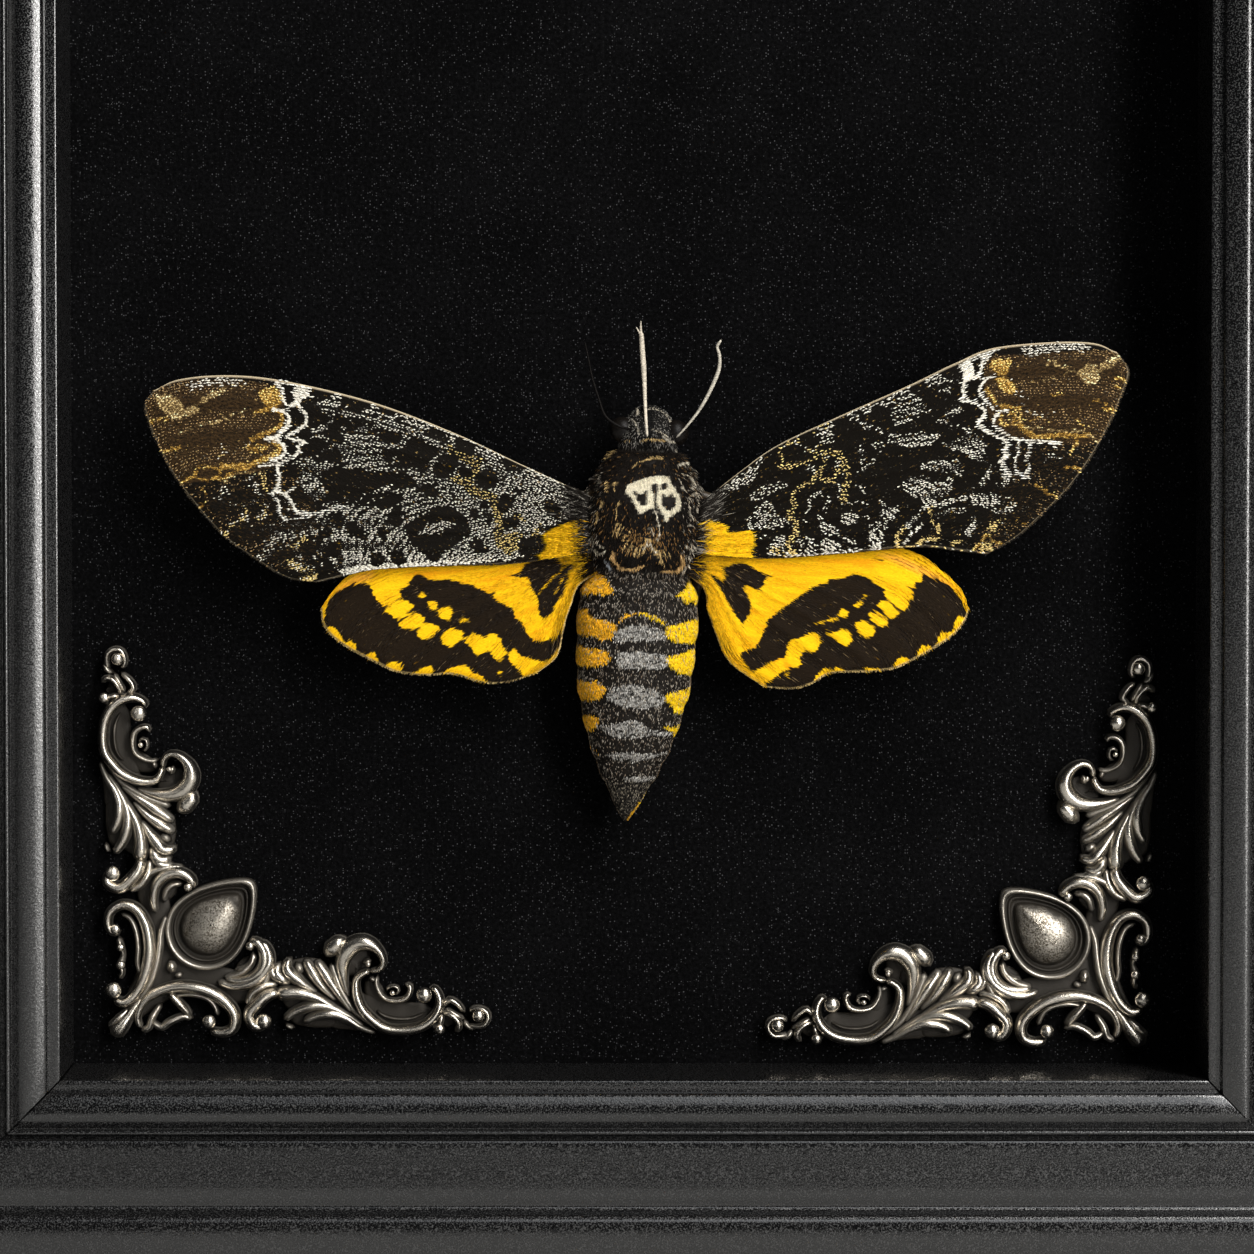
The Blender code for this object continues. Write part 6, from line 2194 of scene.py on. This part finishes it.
    def coat(self, name: str, slot: str, count: int, span: Pair, length: Pair, lift: Pair,
             width: float) -> None:
        """Cover a stretch of the body in tufts.

        Args:
            name: the piece's name.
            slot: not used.
            count: how many tufts.
            span: stretch of the axis.
            length: shortest and longest tuft, in mm.
            lift: how far tips stand off, as shares of the length.
            width: half width in mm.
        """
        rng = self.rng
        along, angle = self.scatter(count, *span)
        root, out, back, turn = self.frames(along, angle)
        n = len(along)
        local = self.surface(along, angle)
        x, z = local[:, 0], local[:, 2]
        clump = np.sin(x * 2.1 + z * 1.3) * np.cos(z * 2.7 - x * 0.9)
        sway = rng.normal(0, 0.22, n) + 0.3 * clump
        lie = unit(back + turn * sway[:, None])
        seen = self.surface(along - 0.32 * np.mean(length), angle)
        tones = self.tones(seen, angle, rng.random(n))
        size = rng.uniform(*length, n) * (0.85 + 0.3 * clump)
        taper = (np.interp(along, [-34.7, -30, -6], [0.35, 0.8, 1.0])
                 * np.interp(along, [8.0, 12.0], [1.0, 0.45]))
        near = shape_mask(self.place(local)[:, [0, 2]], self.skull, 0.9)
        short = 1 - 0.5 * near * (np.sin(angle) > 0)
        flank = np.abs(np.cos(angle)) ** 3 * step(-7.4, -5.0, along) * step(8.5, 6.5, along)
        size = size * short * (1 + 0.45 * flank)
        stand = rng.uniform(*lift, n) * short * (1 + 0.9 * flank)
        bold = 1 + 0.7 * step(0.03, 0.2, tones.max(1))
        tufts = Tufts(name, self.hair, slot)
        tufts.add(root, lie, out, size * taper * MM, rng.uniform(0.6, 1.2, n) * bold * width * MM,
                  stand, tones, self.unwrap(along, angle % (2 * np.pi)))
        tufts.build()

    def build(self) -> None:
        """Skin, then the coat of each stretch."""
        self.skin()
        self.hair = Hair("Moth hair").build()
        self.coat("coat_thorax", "body_hair", 37000, (-7.2, 7.0), (0.3, 0.68), (0.15, 0.5), 0.03)
        self.coat("coat_head", "body_hair", 10000, (6.4, 12.1), (0.3, 0.62), (0.14, 0.5), 0.028)
        self.coat("coat_abdomen", "abdomen_hair", 38000, (-34.6, -6.6), (0.4, 0.8),
                  (0.03, 0.13), 0.04)


# Feelers and tongue: radii and a route of x, z, height for each of their tubes, in mm.
FEELERS = {
    "antenna_right": (
        ".1 .13 .17 .21 .23 .19 .15", "3.6,8.5,9.4 4.6,9.6,9.7 6.1,11.5,9.6 7.3,13.6,9.4 "
        "8.3,16,9.4 8.4,17.6,9.4 8.15,18.6,9.5 8.6,19.4,9.6"),
    "antenna_left": (
        ".14 .15 .14 .12 .1 .08", "-1.4,9.4,9 -2.8,9.8,9.7 -4.3,10.9,9.5 -5.1,13,9.2 "
        "-5.8,15.3,9 -6.2,17.3,8.9 -6.6,19.2,8.9"),
    "proboscis": (
        ".16 .18 .2 .24 .31 .3 .27", ".35,8.6,9.6 .2,10.6,8.9 .1,12.9,7.6 0,15.4,7 "
        "-.2,18.4,7 -.33,20.3,7",
        ".16 .12 .07", "-.33,19.9,7 -.36,20.9,7 -.36,21.5,7",
        ".12 .1 .06", "-.4,20,7 -.7,20.5,7 -.86,20.8,7"),
}
# The left feeler's near-black is painted shade; the right feeler keeps the feelers' pale colour.
FEELER_COLOURS = {"antenna_right": (0.5, 0.46, 0.38), "antenna_left": (0.006, 0.005, 0.0045),
                  "proboscis": (0.62, 0.55, 0.44)}
# Legs of the right side, which the left side mirrors: the hip's place on the body's axis,
# then x, z, height.
LEGS = {
    "fore": (2.6, "7.8,1.5,2.9 11.4,-.8,2 12.6,-4.8,.9 12.4,-8,.7"),
    "mid": (0.0, "7.9,-1.6,3.2 9.9,-4.8,1.8 10.3,-9,.9 10,-12.6,.7"),
    "hind": (-2.9, "7.1,-4.8,2 5.9,-8.8,.9 5.3,-13.6,.6 4.9,-18.2,.6"),
}
LEG_RADII = ".6 .62 .5 .55 .36 .32 .24"


@dataclass
class Limbs:
    """Eyes, feelers, tongue and legs: the hard parts that stay separate."""

    layout: Layout
    body: Body
    sides: int = 12
    rings: int = 90
    eye_rows: int = 48
    eye_sides: int = 64

    def tube(self, route: Array, radii: list[float]) -> Array:
        """A tapering tube whose round ends shrink to nearly nothing.

        Args:
            route: rows of x, z, height in specimen mm.
            radii: radii in mm along it.
        Returns:
            Rows of points, ring after ring, in metres.
        """
        count = self.rings
        path = spaced(smooth_path(route, 10), count)
        path = self.layout.world(path[:, 0], path[:, 2], path[:, 1])
        reach = np.minimum(np.arange(count), np.arange(count)[::-1]) / 3.0
        size = spread(radii, count) * np.sqrt(np.clip(1 - (1 - reach.clip(0, 1)) ** 2, 0.01, 1))
        along = unit(np.gradient(path, axis=0))
        across = unit(np.cross(along, np.array([0.0, 1.0, 0.013])))
        lift = np.cross(across, along)
        turn = np.arange(self.sides) * 2 * math.pi / self.sides
        size = (size * MM)[:, None]
        return (path[:, None] + across[:, None] * (size * np.cos(turn))[..., None]
                + lift[:, None] * (size * np.sin(turn))[..., None]).reshape(-1, 3)

    def rod(self, name: str, material: bpy.types.Material,
            parts: list[tuple[Array, list[float]]]) -> None:
        """One smooth limb in the place of its CAD node.

        Args:
            name: the CAD node.
            material: its finish.
            parts: routes and radii of its tubes.
        """
        points = np.vstack([self.tube(*part) for part in parts])
        quads = np.vstack([grid_faces(self.rings, self.sides, wrap=True)
                           + at * self.rings * self.sides for at in range(len(parts))])
        obj = make_mesh("fine_" + name, points, quads[:, ::-1], material)
        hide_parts(name)
        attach(obj, "root")

    def chitin(self, name: str, colour: Colour) -> bpy.types.Material:
        """Scaled chitin with fine cross bands.

        Args:
            name: what it covers.
            colour: its light colour; for the left feeler, a near-black painted shade.
        Returns:
            The material.
        """
        material, graph, shader = start_material("Chitin of " + name)
        grain = FineGrain().place(graph, graph.stretched(graph.place(), 1.0, 1.0, 3.0),
                                  2500.0, 500.0)
        dark = tuple(part * 0.45 for part in colour)
        graph.feed(shader, {
            "Base Color": graph.mix(graph.span(grain["Height"], 0.35, 0.62), dark, colour),
            "Roughness": 0.45, "Specular IOR Level": 0.4 if colour[0] > 0.05 else 0.05,
            "Normal": graph.bump(grain["Height"], 0.00005, 0.5)})
        return material

    def eye(self, side: Side) -> None:
        """One dark compound eye with a fine facet grain.

        Args:
            side: the side it looks to.
        """
        material, graph, shader = start_material("Compound eye " + side.word)
        facets = graph.cells(graph.place(), 11000.0).outputs["Distance"]
        graph.feed(shader, {
            "Base Color": graph.mix(graph.span(facets, 0.2, 0.7), (0.008, 0.006, 0.005),
                                    (0.003, 0.0025, 0.002)),
            "Roughness": 0.38, "Specular IOR Level": 0.14,
            "Normal": graph.bump(facets, 0.00003, 0.4)})
        low, high = (Vector(corner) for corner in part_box("eye_" + side.word))
        centre, radius = (low + high) / 2, (high - low).x / 2 * 0.97
        shape = ball(self.eye_rows, self.eye_sides, 0.01)
        quads = grid_faces(self.eye_rows, self.eye_sides, wrap=True)[:, ::-1]
        obj = make_mesh("fine_eye_" + side.word, np.array(centre) + shape * radius, quads,
                        material)
        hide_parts("eye_" + side.word)
        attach(obj, "root")

    def build(self) -> None:
        """Build every limb and eye."""
        for side in Side:
            self.eye(side)
        for name, given in FEELERS.items():
            parts = [(drawn(route), numbers(radii)) for radii, route in zip(given[::2],
                                                                            given[1::2])]
            self.rod(name, self.chitin(name, FEELER_COLOURS[name]), parts)
        chitin = self.chitin("legs", (0.07, 0.05, 0.03))
        for pair, (along, route) in LEGS.items():
            for side in Side:
                hip = self.body.place(np.array([side.value * 3.2, 3.4, along]))
                path = np.vstack([hip[[0, 2, 1]], drawn(route) * (side.value, 1, 1)])
                self.rod(f"leg_{pair}_{side.word}", chitin, [(path, numbers(LEG_RADII))])


def plain(colour: Colour, low: float = 0.5) -> object:
    """A tone that is one colour, lighter and darker by the grain."""
    return lambda index, grain: np.array(colour) * (low + 0.5 * grain[:, None])


class WingCoat:
    """Scale dashes, flame-edged hair, root tufts and the fringe of one wing."""

    seed = 53
    yellow = (0.88, 0.5, 0.007)
    # How far over the sheet's middle the roots lie.
    root_height = 0.24

    def __init__(self, wing: Wing, material: bpy.types.Material) -> None:
        """Prepare the wing's tangents.

        Args:
            wing: the wing that carries the coat.
            material: the hair's finish.
        """
        self.wing = wing
        self.tufts = Tufts("coat_" + wing.name, material, wing.pair.slot)
        self.rng = np.random.default_rng(self.seed + len(wing.name) + 7 * wing.side)
        self.u, self.v = wing.u.ravel(), wing.v.ravel()
        self.masks = wing.masks
        over = wing.height(wing.u, wing.v) + self.root_height + wing.ridge()
        points = wing.world(wing.flat, over)
        self.along = unit(np.gradient(points, axis=1)).reshape(-1, 3)
        self.across = unit(np.gradient(points, axis=0)).reshape(-1, 3)
        self.points = points.reshape(-1, 3)

    def even(self, weight: Array, pitch: Pair) -> Array:
        """Grid points of an even stipple in staggered rows, kept where a weight allows.

        Args:
            weight: share kept at every grid point.
            pitch: spacing along and across the veins, in mm.
        Returns:
            The grid points.
        """
        row = self.v * (8.0 + 12.0 * self.u) / pitch[1]
        column = self.u * 52 / pitch[0] + 0.5 * (np.floor(row) % 2) + 0.2 * np.sin(row * 1.7)
        off = np.hypot((column % 1 - 0.5) * pitch[0], (row % 1 - 0.5) * pitch[1])
        order = np.argsort(off)
        key = np.floor(row).astype(int) * 9999 + np.floor(column).astype(int)
        kept = order[np.unique(key[order], return_index=True)[1]]
        return kept[self.rng.random(len(kept)) < weight[kept]]

    def some(self, weight: Array, count: int) -> Array:
        """Random grid points, likelier where a weight is high."""
        return self.rng.choice(weight.size, count, p=weight / weight.sum())

    def lay(self, index: Array, length: Pair, width: float, lift: Pair, colours: object,
            sway: float) -> None:
        """Lay tufts at grid points, along the wing.

        Args:
            index: the grid points.
            length: shortest and longest, in mm.
            width: half width in mm.
            lift: how far tips stand off, as shares of the length.
            colours: takes grid numbers and random grains, gives colours.
            sway: random turn of the direction.
        """
        rng, count = self.rng, len(index)
        along, across = self.along[index], self.across[index]
        shift = rng.uniform(-0.3, 0.3, (count, 2)) * self.wing.cell * MM
        size = rng.uniform(*length, count) * MM
        lie = unit(along + across * rng.normal(0, sway, count)[:, None])
        root = (self.points[index] + along * shift[:, :1] + across * shift[:, 1:]
                - lie * size[:, None] * 0.5)
        self.add(root, lie, size, rng.uniform(0.75, 1.2, count) * width * MM,
                 rng.uniform(*lift, count), colours(index, rng.random(count)),
                 self.wing.unwrap()[index])

    def add(self, root: Array, lie: Array, *rest: Array) -> None:
        """Add tufts that stand off toward the viewer."""
        self.tufts.add(root, lie, np.tile([[0.0, -1.0, 0.0]], (len(root), 1)), *rest)

    def fore(self) -> None:
        """Stipple dashes of the forewing, with dark root hair over the yellow patch."""
        masks, u = self.masks, self.u
        clear = 1 - np.maximum.reduce([masks[word] for word in ("white", "ochre", "tan", "lace")])
        gold, pale = tone(1.0, 0.75, 0.3), tone(1.0, 0.95, 0.81)

        def lace(index: Array, grain: Array) -> Array:
            """Grey to cream, golden where the mark says so."""
            warm = (masks["gold"][index] > self.rng.random(len(index)))[:, None]
            return np.where(warm, gold, pale) * (0.55 + 0.5 * grain[:, None])

        for weight, pitch, length, width, colours, sway in (
                (masks["lace"], (0.34, 0.24), (0.32, 0.54), 0.092, lace, 0.45),
                (masks["ochre"], (0.32, 0.21), (0.28, 0.48), 0.105,
                 plain((1.0, 0.72, 0.25), 0.7), 0.5),
                (masks["tan"] * 0.9, (0.36, 0.25), (0.3, 0.48), 0.108,
                 plain((1.0, 0.83, 0.47), 0.85), 0.6),
                (masks["white"] ** 0.7, (0.3, 0.21), (0.5, 0.85), 0.085,
                 plain((0.9, 0.86, 0.75), 0.75), 0.16),
                (masks["brown"] * clear * 0.8, (0.33, 0.23), (0.2, 0.34), 0.058,
                 plain((0.95, 0.62, 0.28), 0.15), 0.6),
                (0.16 * clear, (0.45, 0.28), (0.18, 0.3), 0.045, plain((0.4, 0.36, 0.28), 0.2),
                 0.6)):
            self.lay(self.even(weight, pitch), length, width, (0.02, 0.1), colours, sway)
        yellow, dark = plain(self.yellow, 0.75), plain((0.02, 0.016, 0.012))

        def root_hair(index: Array, grain: Array) -> Array:
            """Yellow on the patch, else dark with silver strands."""
            silver = (grain > 0.86)[:, None] * tone(0.3, 0.28, 0.24)
            patch = (masks["patch"][index] > 0.5) & (self.inboard(index) > 7.1)
            return np.where(patch[:, None], yellow(index, grain),
                            np.maximum(dark(index, grain), silver))

        self.lay(self.some(np.exp(-(u / 0.035) ** 2), 1500), (0.9, 2.0), 0.036, (0.06, 0.25),
                 root_hair, 0.22)
        near = masks["patch"] * np.exp(-(self.inboard(slice(None)) / 7.4) ** 8)
        self.lay(self.some(near + 1e-9, 500), (0.5, 1.0), 0.045, (0.1, 0.3), root_hair, 0.4)
        self.lay(self.some(masks["patch"] ** 2 + 1e-9, 1400), (0.8, 1.7), 0.045, (0.04, 0.16),
                 root_hair, 0.2)
        self.fringe((0.16, 0.3), tone(0.07, 0.055, 0.035), tone(0.02, 0.017, 0.014))

    def inboard(self, index: object) -> Array:
        """Ragged distance of grid points from the body's middle, in mm."""
        x = self.wing.flat.reshape(-1, 2)[index, 0]
        return np.abs(x + 0.2) + self.rng.normal(0, 0.45, x.shape)

    def hind(self) -> None:
        """Hair that lies along the hindwing and breaks the edges of its bands."""
        masks, u = self.masks, self.u

        def bands(index: Array, grain: Array) -> Array:
            """Yellow or dark as the mark lies under the hair's root."""
            ragged = self.rng.normal(0, 0.12, len(index))
            light = (masks["yellow"][index] + ragged > 0.5) | (masks["dark"][index] + ragged < 0.5)
            light &= self.inboard(index) > 6.7
            g, warm = grain[:, None], masks["orange"][index][:, None]
            yellow = (tone(*self.yellow) * (1 - warm) + tone(0.88, 0.4, 0.06) * warm) * (
                0.75 + 0.3 * g)
            dark = np.where(g > 0.95, tone(0.2, 0.14, 0.07),
                            tone(0.011, 0.007, 0.0045) * (0.6 + 0.8 * g))
            return np.where(light[:, None], yellow, dark)

        self.lay(self.some(0.8 + 0.8 * (1 - u), 10800), (0.5, 1.2), 0.032, (0.01, 0.05), bands,
                 0.1)
        rear = 0.3 * np.exp(-((1 - self.v) / 0.06) ** 2) * (u < 0.7)
        self.lay(self.some(np.exp(-(u / 0.08) ** 2) + rear, 2200), (1.0, 2.2), 0.034,
                 (0.03, 0.12), bands, 0.16)
        self.fringe((0.16, 0.32), tone(0.82, 0.6, 0.26), tone(0.55, 0.4, 0.18))

    def fringe(self, length: Pair, pale: Array, dark: Array) -> None:
        """Short scales that stand out of the outer and trailing edges in the wing's plane.

        Args:
            length: shortest and longest, in mm.
            pale: the colour of most.
            dark: the colour of the checks between veins.
        """
        wing, rng = self.wing, self.rng
        for edge, inner in (((slice(None), -1), (slice(None), -4)), (-1, -4)):
            flat, height = wing.flat[edge], wing.height(wing.u[edge], wing.v[edge])
            count = len(flat) * 9
            at = rng.uniform(0, len(flat) - 1.001, count)
            low = at.astype(int)
            part = at - low
            place = flat[low] * (1 - part[:, None]) + flat[low + 1] * part[:, None]
            tall = height[low] * (1 - part) + height[low + 1] * part
            away = unit(place - wing.flat[inner][low])
            root = wing.world(place, tall + rng.uniform(-0.1, 0.1, count))
            lie = unit(np.stack([away[:, 0], rng.normal(0, 0.06, count), away[:, 1]], -1)
                       + rng.normal(0, 0.14, (count, 3)))
            check = (np.sin(at * wing.cell * 2 * np.pi / 3.1) > 0.55)[:, None]
            tones = np.where(check, dark, pale) * (0.7 + 0.5 * rng.random(count)[:, None])
            places = np.stack([np.full(count, 0.97), 0.05 + 0.4 * at / len(flat)], 1)
            self.add(root, lie, rng.uniform(*length, count) * MM,
                     rng.uniform(0.02, 0.034, count) * MM, rng.uniform(-0.05, 0.1, count), tones,
                     places)

    def build(self) -> None:
        """Build the coat of this wing."""
        if self.wing.fore:
            self.fore()
        else:
            self.hind()
        self.tufts.build()


def main() -> None:
    """Load the solids, build every piece over them and set the studio."""
    logging.basicConfig(level=logging.INFO, format="%(name)s: %(message)s")
    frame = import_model()
    layout = Layout()
    ShadowBox(layout).build(frame)
    Lint(layout).build()
    for side in Side:
        CornerOrnament(layout, side).build()
    body = Body(layout)
    body.build()
    for name in WINGS:
        wing = Wing(layout, name)
        wing.build()
        WingCoat(wing, body.hair).build()
    Limbs(layout, body).build()
    Studio(layout).build()
    bpy.context.scene.view_settings.view_transform = "Standard"


if __name__ == "__main__":
    main()
